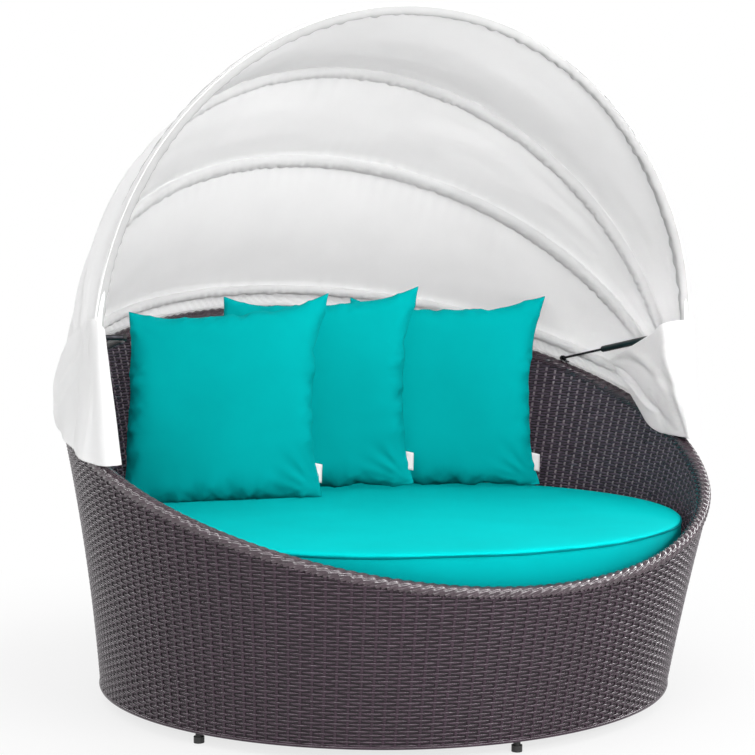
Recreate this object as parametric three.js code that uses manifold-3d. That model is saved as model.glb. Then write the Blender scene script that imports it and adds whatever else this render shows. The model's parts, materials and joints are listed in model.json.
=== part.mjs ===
// Outdoor daybed with a folding canopy: a round wicker base with a tilted rim, a round seat cushion,
// three scatter pillows, and a fabric canopy on four hoops that fold back about one pivot on each side.
// Millimetres, +Z up, the floor at Z = 0, the front of the daybed faces -Y.
// The origin is on the axis of the round base ring.
import * as THREE from 'three';
import { mergeVertices } from 'three/addons/utils/BufferGeometryUtils.js';
import Module from 'manifold-3d';

const wasm = await Module();
wasm.setup();

// Gaps
const touchGap = 0.4; // between pieces that bear on each other
const boreGap = 0.4; // round a pin in its hole
const leanGap = 1; // between an upright piece and one that leans against it

// Wicker wall: a cone-like shell whose flare grows with height
const baseRadius = 720;
const baseLift = 25; // height of the lower edge of the wicker above the floor
const rimFrontHeight = 379;
const rimSideHeight = 666;
const rimBackHeight = 978;
const rimShoulder = 2.9; // fullness of the rim line between front and back
const flareShare = 0.101; // growth of the radius per height at the lower edge
const flareBowShare = 0.088; // further growth, which rises with the height
const leanShare = 0.1383; // forward shift of the ring centres per height
const leanBowShare = 0.0279;
const wallThickness = 27;
const weaveThickness = 3;
const wallSegments = 48; // round the ring: a multiple of 16, so that each upright has a corner
const weaveRows = 4;

// Frame of round tube
const frameTubeRadius = 8.5;
const tubeSides = 8;
const uprightCount = 8;
const uprightRows = 4;
const deckTopHeight = 320;
const deckThickness = 12;
const slatWidth = 30;
const slatCount = 4;
const slatPitch = 300;

// Feet
const footRadius = 12;
const footNeckRadius = 8;
const footPadHeight = 14;
const footInset = 20; // of the feet's axes from the wicker's lower edge
const footCount = 6;
const footSides = 16;
const footStartAngle = 0;

// Wrapped rim
const wrapThickness = 2.5;
const wrapDepth = 42; // how far the wrapping comes down both faces of the wall
const wrapGap = 0.7;
const wrapArcSteps = 4;

// Canopy hoops: flat blades on a common bolt, straight legs, then half an ellipse
const hoopTubeRadius = 8;
const pivotY = -179;
const pivotRise = 57; // the pivot above the top line of the rim
const legLength = 167;
const hoopRises = [823, 820, 795, 828]; // front, second, third, rear
const hoopAngles = [95.2, 66.9, 46.6, 20]; // degrees up from straight back
const hoopNames = ['hoop_front', 'hoop_second', 'hoop_third', 'hoop_rear'];
const hoopSteps = 22;
const hoopSides = 8;
const bladeThickness = 4.5;
const bladeLength = 150;
const bladeHalfWidth = 8.5;
const bladeEyeHalfWidth = 10.5;
const bladeNoseShare = 1 / 3; // half width of the blade's end, as a share of its eye's
const bladeCheekReachShare = 0.6; // the rounding between the end and the eye
const bladeCheekShare = 0.8;
const bladeTaperShare = 3; // the eye has tapered to the blade's width this many half widths from the pin
const pivotPinRadius = 4;
const boltHeadRadius = 7.5;
const boltHeadHeight = 5;
const nutHeight = 7;
const boltEndOver = 2;
const earThickness = 5;
const earRadius = 12;
const bracketFootLength = 62;
const bracketFootWidth = 34;
const bracketFootThickness = 4;

// Gas struts
const strutInset = 3.5; // the strut's axis inside the top line of the rim
const strutHoopReach = 210; // from the pivot along the front hoop to the strut's upper stud
const strutRimY = 323.5;
const strutRimRise = 9.75; // its lower end above that line
const strutBodyRadius = 9;
const strutBodyWall = 2;
const strutBodyStart = 22;
const strutBodyEnd = 305;
const strutRodRadius = 3.5;
const strutRodEngaged = 32;
const strutEyeRadius = 8;
const strutEyeThickness = 7;
const studShoulderRadius = 6;
const studHeadHeight = 3;
const rimEarRadius = 6.5;
const rimEarThickness = 4;
const rimFootLength = 26;
const rimFootWidth = 11;
const rimFootThickness = 3;
const roundSides = 12;

// Canopy cloth
const clothThickness = 2;
const clothGap = 1.8; // between a hoop and the cloth over it
const seamHalfGap = 0.8;
const clothSagShare = 0.035; // sag of a panel, as a share of the span between its hoops
const panelRows = 4;
const panelStart = 60; // the panels begin this far from the pivot
const panelFrontOverhang = 12;
const skirtDrop = 48;
const skirtOutset = 6.5; // middle of the cloth outside the wicker face
const skirtRimDip = 4; // its turn over the rim, below the rim's top
const skirtBulge = 26;
const skirtStartAngle = 88; // degrees round from the front
const skirtColumns = 60;
const skirtFolds = 12;
const skirtFoldDepth = 3;
const flapRows = 5;

// Cushions
const cushionSeamHeight = 440;
const cushionEdgeGap = 17.4; // between the seam and the wicker, on average
const cushionBackShift = 12.5; // of its middle from the wall's at the height of the seam
const cushionLowerInset = 15; // the side draws in below the seam
const cushionBottomInset = 43;
const cushionCrown = 15;
const cushionBottomRise = 12;
const cushionCrownWidth = 150; // the crown rises from the seam over this width
const crownEdgeWidthShare = 1 / 4; // the first part of that rise, as shares of the width and of the crown
const crownEdgeRiseShare = 0.55;
const crownRiseShare = 0.9;
const cushionSegments = 40;
const pillowHalfThickness = 80;
const pillowSeamHalfThickness = 2;
const pillowWaistShare = 0.17; // how far the sides draw in between the corners, as a share of half a side
const pillowSteps = 10;
// Corners of each pillow: upper left, upper right, lower right, lower left, as x, y, height over the seat
const pillowCorners = {
  pillow_left: [[-555, 430, 518], [-20, 310, 557], [-72, 234, 0], [-604, 345, 0]],
  pillow_middle: [[-240, 580, 555], [262, 325, 580], [234, 300, 16], [-270, 550, 0]],
  pillow_right: [[134, 537, 550], [640, 266, 563], [608, 240, 8], [105, 510, 0]],
};

const wicker = new THREE.MeshStandardMaterial({ color: 0x473e44, roughness: 0.5, metalness: 0 });
const wickerInside = new THREE.MeshStandardMaterial({ color: 0x4a4950, roughness: 0.5, metalness: 0 });
const frameMetal = new THREE.MeshStandardMaterial({ color: 0x2b2b2d, roughness: 0.45, metalness: 0.8 });
const steel = new THREE.MeshStandardMaterial({ color: 0xa8abae, roughness: 0.3, metalness: 1 });
const blackPlastic = new THREE.MeshStandardMaterial({ color: 0x141414, roughness: 0.5, metalness: 0 });
const blackPaint = new THREE.MeshStandardMaterial({ color: 0x111112, roughness: 0.35, metalness: 0.6 });
const canopyCloth = new THREE.MeshStandardMaterial({ color: 0xf0f0ef, roughness: 0.85, metalness: 0 });
const seatCloth = new THREE.MeshStandardMaterial({ color: 0x00cfd0, roughness: 0.8, metalness: 0 });
const pillowCloth = new THREE.MeshStandardMaterial({ color: 0x00b2b6, roughness: 0.8, metalness: 0 });

const daybed = new THREE.Group();

function add(name, geometry, material, parent = daybed) {
  const mesh = new THREE.Mesh(geometry, material);
  mesh.name = name;
  parent.add(mesh);
  return mesh;
}

// Mesh tools

// A body from corners and triangles, turned outwards by the sign of its volume.
function body(corners, triangles) {
  let volume = 0;
  for (const [a, b, c] of triangles) {
    volume += corners[a].dot(new THREE.Vector3().crossVectors(corners[b], corners[c]));
  }
  const geometry = new THREE.BufferGeometry();
  geometry.setFromPoints(corners);
  geometry.setIndex(triangles.flatMap(([a, b, c]) => (volume < 0 ? [a, c, b] : [a, b, c])));
  return geometry;
}

// Joins outlines with the same number of corners: in a ring, or open with flat ends.
function skin(outlines, ring) {
  const count = outlines[0].length;
  const corners = outlines.flat();
  const triangles = [];
  const spans = ring ? outlines.length : outlines.length - 1;
  for (let i = 0; i < spans; i++) {
    const here = i * count;
    const next = ((i + 1) % outlines.length) * count;
    for (let j = 0; j < count; j++) {
      const k = (j + 1) % count;
      triangles.push([here + j, next + j, next + k], [here + j, next + k, here + k]);
    }
  }
  if (!ring) {
    const last = (outlines.length - 1) * count;
    for (let j = 1; j < count - 1; j++) {
      triangles.push([0, j, j + 1], [last, last + j + 1, last + j]);
    }
  }
  return body(corners, triangles);
}

// A sheet of cloth with a thickness, from a grid of points on its middle surface.
function sheet(grid, thickness) {
  const rows = grid.length;
  const columns = grid[0].length;
  const corners = [];
  for (const side of [thickness / 2, -thickness / 2]) {
    for (let i = 0; i < rows; i++) {
      for (let j = 0; j < columns; j++) {
        const along = grid[i][Math.min(j + 1, columns - 1)].clone().sub(grid[i][Math.max(j - 1, 0)]);
        const across = grid[Math.min(i + 1, rows - 1)][j].clone().sub(grid[Math.max(i - 1, 0)][j]);
        const normal = along.cross(across).normalize();
        corners.push(grid[i][j].clone().addScaledVector(normal, side));
      }
    }
  }
  const at = (side, i, j) => side * rows * columns + i * columns + j;
  const triangles = [];
  const quad = (a, b, c, d) => triangles.push([a, b, c], [a, c, d]);
  for (let i = 0; i < rows - 1; i++) {
    for (let j = 0; j < columns - 1; j++) {
      quad(at(0, i, j), at(0, i, j + 1), at(0, i + 1, j + 1), at(0, i + 1, j));
      quad(at(1, i, j), at(1, i + 1, j), at(1, i + 1, j + 1), at(1, i, j + 1));
    }
  }
  for (let j = 0; j < columns - 1; j++) {
    quad(at(0, 0, j + 1), at(0, 0, j), at(1, 0, j), at(1, 0, j + 1));
    quad(at(0, rows - 1, j), at(0, rows - 1, j + 1), at(1, rows - 1, j + 1), at(1, rows - 1, j));
  }
  for (let i = 0; i < rows - 1; i++) {
    quad(at(0, i, 0), at(0, i + 1, 0), at(1, i + 1, 0), at(1, i, 0));
    quad(at(0, i + 1, columns - 1), at(0, i, columns - 1), at(1, i, columns - 1), at(1, i + 1, columns - 1));
  }
  return body(corners, triangles);
}

// three.js geometry to a solid and back, for cuts and joins
function toSolid(geometry) {
  const plain = (geometry.index ? geometry.toNonIndexed() : geometry.clone());
  plain.deleteAttribute('normal');
  plain.deleteAttribute('uv');
  const merged = mergeVertices(plain);
  const vertProperties = new Float32Array(merged.attributes.position.array);
  const triVerts = new Uint32Array(merged.index.array);
  return new wasm.Manifold(new wasm.Mesh({ numProp: 3, vertProperties, triVerts }));
}

function toGeometry(solid) {
  const mesh = solid.getMesh();
  const geometry = new THREE.BufferGeometry();
  geometry.setAttribute('position', new THREE.BufferAttribute(new Float32Array(mesh.vertProperties), 3));
  geometry.setIndex(new THREE.BufferAttribute(new Uint32Array(mesh.triVerts), 1));
  return geometry;
}

// A round bar along X from one X to another, about the line through y and z
function barAlongX(radius, fromX, toX, y, z, sides = roundSides) {
  const geometry = new THREE.CylinderGeometry(radius, radius, Math.abs(toX - fromX), sides);
  geometry.rotateZ(Math.PI / 2);
  geometry.translate((fromX + toX) / 2, y, z);
  return geometry;
}

function mirrored(geometry) {
  const copy = geometry.index ? geometry.toNonIndexed() : geometry.clone();
  copy.deleteAttribute('normal');
  copy.deleteAttribute('uv');
  const position = copy.attributes.position;
  for (let i = 0; i < position.count; i += 3) {
    const corner = [0, 1, 2].map((k) => new THREE.Vector3().fromBufferAttribute(position, i + k));
    [0, 2, 1].forEach((from, to) => position.setXYZ(i + to, -corner[from].x, corner[from].y, corner[from].z));
  }
  return mergeVertices(copy);
}

// A piece that stands on both sides: given for the right, where X is positive
function addPair(name, geometry, material) {
  add(`${name}_right`, geometry, material);
  add(`${name}_left`, mirrored(geometry), material);
}

// The wall

const radians = THREE.MathUtils.degToRad;
const wallAngle = (i) => (2 * Math.PI * i) / wallSegments;

function wallRadius(z) {
  const h = z - baseLift;
  return baseRadius + flareShare * h + (flareBowShare * h * h) / rimBackHeight;
}

function wallCentre(z) {
  const h = z - baseLift;
  return -(leanShare * h - (leanBowShare * h * h) / rimBackHeight);
}

// A point of the wall at an angle round from the front, with an inset from its outer face
function wallPoint(angle, z, inset) {
  const radius = wallRadius(z) - inset;
  return new THREE.Vector3(radius * Math.sin(angle), wallCentre(z) - radius * Math.cos(angle), z);
}

function rimTop(angle) {
  const mean = (rimFrontHeight + rimBackHeight) / 2;
  const level = (mean + rimSideHeight) / 2;
  const sideDip = (mean - rimSideHeight) / 2;
  const tilt = (rimFrontHeight - rimBackHeight) / 2;
  const c = Math.cos(angle);
  return level + (tilt + rimShoulder) * c + sideDip * Math.cos(2 * angle) - rimShoulder * Math.cos(3 * angle);
}

const ringOutlines = (outline) => Array.from({ length: wallSegments }, (_, i) => outline(wallAngle(i)));

// One layer of wicker between two insets, from a height up to the round of the wrapping
function weaveLayer(fromHeight, outerInset, innerInset) {
  return skin(ringOutlines((angle) => {
    const wrapEdge = rimTop(angle) - wrapDepth;
    const heights = Array.from({ length: weaveRows + 1 }, (_, i) => {
      return fromHeight + ((wrapEdge - fromHeight) * i) / weaveRows;
    });
    heights.push(rimTop(angle) - wrapCentreDrop);
    const outer = heights.map((z) => wallPoint(angle, z, outerInset));
    const inner = heights.map((z) => wallPoint(angle, z, innerInset));
    return [...outer, ...inner.reverse()];
  }), true);
}

const middleInset = wallThickness / 2;
const wrapInnerRadius = middleInset + wrapGap;
const wrapOuterRadius = wrapInnerRadius + wrapThickness;
const wrapCentreDrop = wrapOuterRadius; // from the rim's top to the centre of its round
const deckBottomHeight = deckTopHeight - deckThickness;

function addWicker() {
  add('outer_weave', weaveLayer(baseLift, 0, weaveThickness), wicker);
  const inside = weaveLayer(deckBottomHeight, wallThickness - weaveThickness, wallThickness);
  add('inner_weave', inside, wickerInside);
}

// The wrapping has an arch-shaped section that is open below.
function addRimWrap() {
  const outlines = ringOutlines((angle) => {
    const top = rimTop(angle);
    const arch = (radius) => {
      const points = [wallPoint(angle, top - wrapDepth, middleInset - radius)];
      for (let i = 0; i <= wrapArcSteps; i++) {
        const turn = (Math.PI * i) / wrapArcSteps;
        const height = top - wrapCentreDrop + radius * Math.sin(turn);
        points.push(wallPoint(angle, height, middleInset - radius * Math.cos(turn)));
      }
      points.push(wallPoint(angle, top - wrapDepth, middleInset + radius));
      return points;
    };
    return [...arch(wrapOuterRadius), ...arch(wrapInnerRadius).reverse()];
  });
  add('rim_wrap', skin(outlines, true), wicker);
}

// The frame

// A closed ring of tube along a path that gives height and inset for each angle
function tubeRing(heightOf, inset) {
  return skin(ringOutlines((angle) => {
    const centre = wallPoint(angle, heightOf(angle), inset);
    return Array.from({ length: tubeSides }, (_, i) => {
      const turn = (2 * Math.PI * (i + 1 / 2)) / tubeSides;
      const out = tubeCornerRadius * Math.cos(turn);
      const up = tubeCornerRadius * Math.sin(turn);
      return centre.clone().add(new THREE.Vector3(out * Math.sin(angle), -out * Math.cos(angle), up));
    });
  }), true);
}

const tubeCornerRadius = frameTubeRadius / Math.cos(Math.PI / tubeSides);
const baseRingHeight = baseLift + touchGap + frameTubeRadius;
const baseRingInset = weaveThickness + leanGap + frameTubeRadius;
const rimTubeDrop = wrapOuterRadius;
const seatRingHeight = deckBottomHeight - touchGap - frameTubeRadius;
const seatRingInset = middleInset + 2 * frameTubeRadius + leanGap;

function addRings() {
  add('base_ring', tubeRing(() => baseRingHeight, baseRingInset), frameMetal);
  add('seat_ring', tubeRing(() => seatRingHeight, seatRingInset), frameMetal);
  add('rim_tube', tubeRing((angle) => rimTop(angle) - rimTubeDrop, middleInset), frameMetal);
}

// An upright follows the wall between its two faces, and its upper end is cut to the tilt of the rim tube.
function upright(angle) {
  const foot = baseRingHeight + frameTubeRadius + touchGap;
  const head = rimTop(angle) - rimTubeDrop - frameTubeRadius - touchGap;
  const step = Math.PI / wallSegments;
  const rise = (rimTop(angle + step) - rimTop(angle - step)) / (2 * step * wallRadius(head));
  const outlines = [];
  for (let i = 0; i <= uprightRows; i++) {
    const z = foot + ((head - foot) * i) / uprightRows;
    const centre = wallPoint(angle, z, middleInset);
    outlines.push(Array.from({ length: tubeSides }, (_, k) => {
      const turn = (2 * Math.PI * (k + 1 / 2)) / tubeSides;
      const out = tubeCornerRadius * Math.cos(turn);
      const along = tubeCornerRadius * Math.sin(turn);
      const offset = new THREE.Vector3(
        out * Math.sin(angle) + along * Math.cos(angle),
        -out * Math.cos(angle) + along * Math.sin(angle),
        i === uprightRows ? rise * along - Math.abs(rise) * touchGap : 0,
      );
      return centre.clone().add(offset);
    }));
  }
  return skin(outlines, false);
}

function addUprights() {
  for (let i = 0; i < uprightCount; i++) {
    const angle = (2 * Math.PI * (i + 1 / 2)) / uprightCount;
    add(`upright_${i + 1}`, upright(angle), frameMetal);
  }
}

// How far out in X the faceted ring reaches at a given y
function ringReach(y, z, inset) {
  for (let i = 0; i < wallSegments / 2; i++) {
    const here = wallPoint(wallAngle(i), z, inset);
    const next = wallPoint(wallAngle(i + 1), z, inset);
    if (here.y <= y && y <= next.y) {
      return THREE.MathUtils.mapLinear(y, here.y, next.y, here.x, next.x);
    }
  }
  return 0;
}

// The slats lie level with the seat ring and end against its inner side.
function addDeck() {
  const reachInset = seatRingInset + frameTubeRadius + touchGap;
  const middleY = wallCentre(seatRingHeight);
  for (let i = 0; i < slatCount; i++) {
    const y = middleY + (i - (slatCount - 1) / 2) * slatPitch;
    const outlines = [-1, 1].map((side) => {
      return [[-1, -1], [1, -1], [1, 1], [-1, 1]].map(([across, up]) => {
        const edgeY = y + (across * slatWidth) / 2;
        const x = side * ringReach(edgeY, seatRingHeight, reachInset);
        return new THREE.Vector3(x, edgeY, seatRingHeight + up * frameTubeRadius);
      });
    });
    add(`deck_slat_${i + 1}`, skin(outlines, false), frameMetal);
  }
  const deck = [];
  const centreY = wallCentre(deckBottomHeight);
  for (const z of [deckBottomHeight, deckTopHeight]) {
    deck.push(ringOutlines((angle) => {
      const edge = wallPoint(angle, deckBottomHeight, wallThickness + touchGap);
      return edge.setZ(z);
    }));
  }
  const corners = [...deck.flat(), new THREE.Vector3(0, centreY, deckBottomHeight)];
  corners.push(new THREE.Vector3(0, centreY, deckTopHeight));
  const triangles = [];
  for (let i = 0; i < wallSegments; i++) {
    const j = (i + 1) % wallSegments;
    const upper = wallSegments;
    triangles.push([i, j, upper + j], [i, upper + j, upper + i]);
    triangles.push([2 * upper, j, i], [2 * upper + 1, upper + i, upper + j]);
  }
  add('seat_deck', body(corners, triangles), wickerInside);
}

function addFeet() {
  const top = baseRingHeight - frameTubeRadius - touchGap;
  const outline = [
    [0, 0], [footRadius, 0], [footRadius, footPadHeight], [footNeckRadius, footPadHeight],
    [footNeckRadius, top], [0, top],
  ].map(([radius, z]) => new THREE.Vector2(radius, z));
  for (let i = 0; i < footCount; i++) {
    const angle = radians(footStartAngle) + (2 * Math.PI * i) / footCount;
    const foot = new THREE.LatheGeometry(outline, footSides);
    foot.rotateX(Math.PI / 2);
    const mesh = add(`foot_${i + 1}`, foot, blackPlastic);
    mesh.position.copy(wallPoint(angle, baseLift, footInset)).setZ(0);
  }
}

// The top line of the rim on the right side, at a given y
function rimAngleAt(y) {
  let low = 0;
  let high = Math.PI;
  for (let i = 0; i < 50; i++) {
    const middle = (low + high) / 2;
    if (wallPoint(middle, rimTop(middle), middleInset).y < y) {
      low = middle;
    } else {
      high = middle;
    }
  }
  return low;
}

function rimCrestAt(y) {
  const angle = rimAngleAt(y);
  return wallPoint(angle, rimTop(angle), middleInset);
}

// The hoops

const hoopHalfWidth = rimCrestAt(pivotY).x;
const pivotHeight = rimCrestAt(pivotY).z + pivotRise;
const pivot = new THREE.Vector3(0, pivotY, pivotHeight);
const stackWidth = hoopNames.length * bladeThickness + (hoopNames.length - 1) * touchGap;
const stackInner = hoopHalfWidth - stackWidth / 2;

// The blades are stacked on the bolt from the rear hoop, next to the bracket, to the front hoop.
function bladeX(index) {
  const place = hoopNames.length - 1 - index;
  return stackInner + bladeThickness / 2 + place * (bladeThickness + touchGap);
}

// Directions in the plane of a hoop: away from the pivot, and square to the plane towards the front
function hoopFrame(index) {
  const angle = radians(hoopAngles[index]);
  return {
    away: new THREE.Vector3(0, Math.cos(angle), Math.sin(angle)),
    forward: new THREE.Vector3(0, -Math.sin(angle), Math.cos(angle)),
  };
}

// A point of a hoop's arch: x, distance from the pivot, and the outward direction in its plane
function archPoint(index, turn) {
  const rise = hoopRises[index];
  const out = new THREE.Vector2(Math.cos(turn) / hoopHalfWidth, Math.sin(turn) / rise).normalize();
  return { x: hoopHalfWidth * Math.cos(turn), reach: legLength + rise * Math.sin(turn), out };
}

// X of the faceted hoop's centre line at a distance from the pivot
function hoopX(index, reach) {
  const steps = Array.from({ length: hoopSteps / 2 }, (_, i) => archPoint(index, (Math.PI * i) / hoopSteps));
  const next = steps.findIndex((step) => step.reach > reach);
  if (next < 1) {
    return hoopHalfWidth;
  }
  const [from, to] = [steps[next - 1], steps[next]];
  return THREE.MathUtils.mapLinear(reach, from.reach, to.reach, from.x, to.x);
}

function hoopPlace(index, x, reach, forwardBy = 0) {
  const frame = hoopFrame(index);
  const point = pivot.clone().addScaledVector(frame.away, reach).addScaledVector(frame.forward, forwardBy);
  return point.setX(x);
}

// The sections of a hoop from the right blade over the arch to the left blade
function hoopSections(index) {
  const eye = bladeEyeHalfWidth;
  const leg = [
    [-eye, eye * bladeNoseShare], [-eye * bladeCheekReachShare, eye * bladeCheekShare], [0, eye],
    [eye, eye], [eye * bladeTaperShare, bladeHalfWidth], [bladeLength, bladeHalfWidth],
  ].map(([reach, halfWidth]) => {
    return { x: bladeX(index), reach, halfX: bladeThickness / 2, halfWidth, out: new THREE.Vector2(1, 0) };
  });
  const arch = [];
  for (let i = 0; i <= hoopSteps; i++) {
    const { x, reach, out } = archPoint(index, (Math.PI * i) / hoopSteps);
    arch.push({ x, reach, halfX: hoopTubeRadius, halfWidth: hoopTubeRadius, out });
  }
  const far = leg.map((s) => ({ ...s, x: -s.x, out: new THREE.Vector2(-1, 0) })).reverse();
  return [...leg, ...arch, ...far];
}

function hoop(index) {
  const grow = 1 / Math.cos(Math.PI / hoopSides);
  const outlines = hoopSections(index).map((section) => {
    return Array.from({ length: hoopSides }, (_, k) => {
      const turn = (2 * Math.PI * (k + 1 / 2)) / hoopSides;
      const outBy = section.halfX * grow * Math.cos(turn);
      const forwardBy = section.halfWidth * grow * Math.sin(turn);
      const x = section.x + section.out.x * outBy;
      return hoopPlace(index, x, section.reach + section.out.y * outBy, forwardBy);
    });
  });
  const holeEnd = hoopHalfWidth + stackWidth;
  const holeRadius = pivotPinRadius + boreGap;
  const hole = barAlongX(holeRadius, -holeEnd, holeEnd, pivotY, pivotHeight);
  return toGeometry(toSolid(skin(outlines, false)).subtract(toSolid(hole)));
}

function addHoops() {
  hoopNames.forEach((name, index) => add(name, hoop(index), blackPaint));
}

// The pivots

const footGap = 2 * touchGap;

// A foot plate that lies along the top line of the rim near a given y, across from one X to another
function rimFoot(y, length, fromX, toX, thickness) {
  const angle = rimAngleAt(y);
  const crest = rimCrestAt(y);
  const step = length / (2 * wallRadius(crest.z));
  const before = wallPoint(angle - step, rimTop(angle - step), middleInset);
  const after = wallPoint(angle + step, rimTop(angle + step), middleInset);
  const tilt = Math.atan2(after.z - before.z, after.y - before.y);
  const plate = new THREE.BoxGeometry(toX - fromX, length, thickness);
  plate.rotateX(tilt);
  plate.translate((fromX + toX) / 2, y, crest.z + (thickness / 2 + footGap) / Math.cos(tilt));
  return { plate, topHeight: crest.z + (thickness + footGap) / Math.cos(tilt) };
}

// An upright plate in the Y-Z plane: round about an axis, with a tapering root that ends at a height
function ear(radius, y, z, rootHalfWidth, rootHeight, fromX, toX) {
  const outline = new THREE.Shape();
  outline.absarc(0, 0, radius, 0, Math.PI, false);
  outline.lineTo(-rootHalfWidth, rootHeight - z);
  outline.lineTo(rootHalfWidth, rootHeight - z);
  const options = { depth: toX - fromX, bevelEnabled: false, curveSegments: roundSides / 2 };
  const plate = new THREE.ExtrudeGeometry(outline, options);
  plate.rotateX(Math.PI / 2);
  plate.rotateZ(Math.PI / 2);
  plate.translate(fromX, y, z);
  return plate;
}

function hingeBracket() {
  const outerX = stackInner - touchGap;
  const innerX = outerX - earThickness;
  const footEnd = innerX + bracketFootWidth + earThickness;
  const foot = rimFoot(pivotY, bracketFootLength, innerX, footEnd, bracketFootThickness);
  const rootHeight = foot.topHeight - bracketFootThickness / 2;
  const plate = ear(earRadius, pivotY, pivotHeight, earRadius, rootHeight, innerX, outerX);
  const hole = barAlongX(pivotPinRadius + boreGap, innerX - earThickness, outerX + touchGap / 2, pivotY, pivotHeight);
  return toGeometry(toSolid(foot.plate).add(toSolid(plate)).subtract(toSolid(hole)));
}

function addPivots() {
  addPair('hinge_bracket', hingeBracket(), steel);
  const bracketInner = stackInner - touchGap - earThickness;
  const nutOuter = bracketInner - touchGap;
  const headInner = stackInner + stackWidth + touchGap;
  const boltEnd = nutOuter - nutHeight - boltEndOver;
  const shank = barAlongX(pivotPinRadius, boltEnd, headInner + boltHeadHeight / 2, pivotY, pivotHeight);
  const head = barAlongX(boltHeadRadius, headInner, headInner + boltHeadHeight, pivotY, pivotHeight, 6);
  addPair('pivot_bolt', toGeometry(toSolid(shank).add(toSolid(head))), steel);
  const nut = barAlongX(boltHeadRadius, nutOuter - nutHeight, nutOuter, pivotY, pivotHeight, 6);
  const nutHole = barAlongX(pivotPinRadius + boreGap, boltEnd, bracketInner, pivotY, pivotHeight);
  addPair('pivot_nut', toGeometry(toSolid(nut).subtract(toSolid(nutHole))), steel);
}

// The gas struts

const strutPlane = rimCrestAt(strutRimY).x - strutInset;
const strutRimHeight = rimCrestAt(strutRimY).z + strutRimRise;
const strutUpper = hoopPlace(0, strutPlane, strutHoopReach);
const strutLower = new THREE.Vector3(strutPlane, strutRimY, strutRimHeight);
const strutLength = strutUpper.distanceTo(strutLower);
const strutTurn = Math.atan2(strutLower.z - strutUpper.z, strutLower.y - strutUpper.y);

// Strut pieces are drawn along +Y from the upper stud, with the plane of the strut at X = 0.
function placeStrutPiece(geometry) {
  geometry.rotateX(strutTurn);
  geometry.translate(strutUpper.x, strutUpper.y, strutUpper.z);
  return geometry;
}

const turned = (outline) => {
  const points = outline.map(([radius, along]) => new THREE.Vector2(radius, along));
  return new THREE.LatheGeometry(points, roundSides);
};

function strutCylinder() {
  const bore = strutBodyRadius - strutBodyWall;
  const neck = strutRodRadius + boreGap;
  const capInner = strutBodyStart + strutBodyWall;
  const gland = strutBodyEnd - strutBodyRadius;
  const tube = turned([
    [0, 0], [strutRodRadius, 0], [strutRodRadius, strutBodyStart], [strutBodyRadius, strutBodyStart],
    [strutBodyRadius, strutBodyEnd], [neck, strutBodyEnd], [neck, gland], [bore, gland], [bore, capInner],
    [0, capInner],
  ]);
  const half = strutEyeThickness / 2;
  const eye = barAlongX(strutEyeRadius, -half, half, 0, 0);
  return placeStrutPiece(toGeometry(toSolid(tube).add(toSolid(eye))));
}

function strutRod() {
  const bore = strutBodyRadius - strutBodyWall;
  const start = strutBodyEnd - strutRodEngaged;
  const piston = start + strutBodyRadius;
  const rod = turned([
    [0, start], [bore - boreGap, start], [bore - boreGap, piston], [strutRodRadius, piston],
    [strutRodRadius, strutLength], [0, strutLength],
  ]);
  const half = strutEyeThickness / 2;
  const eye = barAlongX(strutEyeRadius, -half, half, strutLength, 0);
  const hole = barAlongX(pivotPinRadius + boreGap, -strutEyeThickness, strutEyeThickness, strutLength, 0);
  return placeStrutPiece(toGeometry(toSolid(rod).add(toSolid(eye)).subtract(toSolid(hole))));
}

// The upper stud stands on the inner side of the front hoop, and the cylinder's eye lies against its end.
function hoopStud() {
  const hoopFace = hoopX(0, strutHoopReach) - hoopTubeRadius - 2 * touchGap;
  const eyeOuter = strutPlane + strutEyeThickness / 2 + touchGap;
  return barAlongX(studShoulderRadius, eyeOuter, hoopFace, strutUpper.y, strutUpper.z);
}

// The lower bracket stands on the rim. The rod's eye turns on its pin, between the ear and the pin's head.
function rimStud() {
  const earInner = strutPlane + strutEyeThickness / 2 + touchGap;
  const earOuter = earInner + rimEarThickness;
  const foot = rimFoot(strutRimY, rimFootLength, earInner, earInner + rimFootWidth, rimFootThickness);
  const rootHeight = foot.topHeight - rimFootThickness / 2;
  const plate = ear(rimEarRadius, strutRimY, strutRimHeight, rimEarRadius, rootHeight, earInner, earOuter);
  const eyeInner = strutPlane - strutEyeThickness / 2 - touchGap;
  const pinStart = eyeInner - studHeadHeight / 2;
  const pinEnd = earInner + rimEarThickness / 2;
  const pin = barAlongX(pivotPinRadius, pinStart, pinEnd, strutRimY, strutRimHeight);
  const head = barAlongX(studShoulderRadius, eyeInner - studHeadHeight, eyeInner, strutRimY, strutRimHeight);
  return toGeometry(toSolid(foot.plate).add(toSolid(plate)).add(toSolid(pin)).add(toSolid(head)));
}

function addStruts() {
  addPair('strut_cylinder', strutCylinder(), blackPaint);
  addPair('strut_rod', strutRod(), steel);
  addPair('strut_hoop_stud', hoopStud(), steel);
  addPair('strut_rim_bracket', rimStud(), steel);
}

// The canopy cloth

// From a hoop's centre line to the middle of the cloth
const clothClearance = hoopTubeRadius + clothGap + clothThickness / 2;

// Points along a hoop, outside its tube, where the cloth runs, from the right leg to the left
function clothLine(index, forwardBy) {
  const line = [];
  const legs = [panelStart, (panelStart + legLength) / 2];
  for (const reach of legs) {
    line.push(hoopPlace(index, hoopHalfWidth + clothClearance, reach, forwardBy));
  }
  for (let i = 0; i <= hoopSteps; i++) {
    const { x, reach, out } = archPoint(index, (Math.PI * i) / hoopSteps);
    const outside = reach + out.y * clothClearance;
    line.push(hoopPlace(index, x + out.x * clothClearance, outside, forwardBy));
  }
  for (const reach of legs.reverse()) {
    line.push(hoopPlace(index, -(hoopHalfWidth + clothClearance), reach, forwardBy));
  }
  return line;
}

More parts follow.
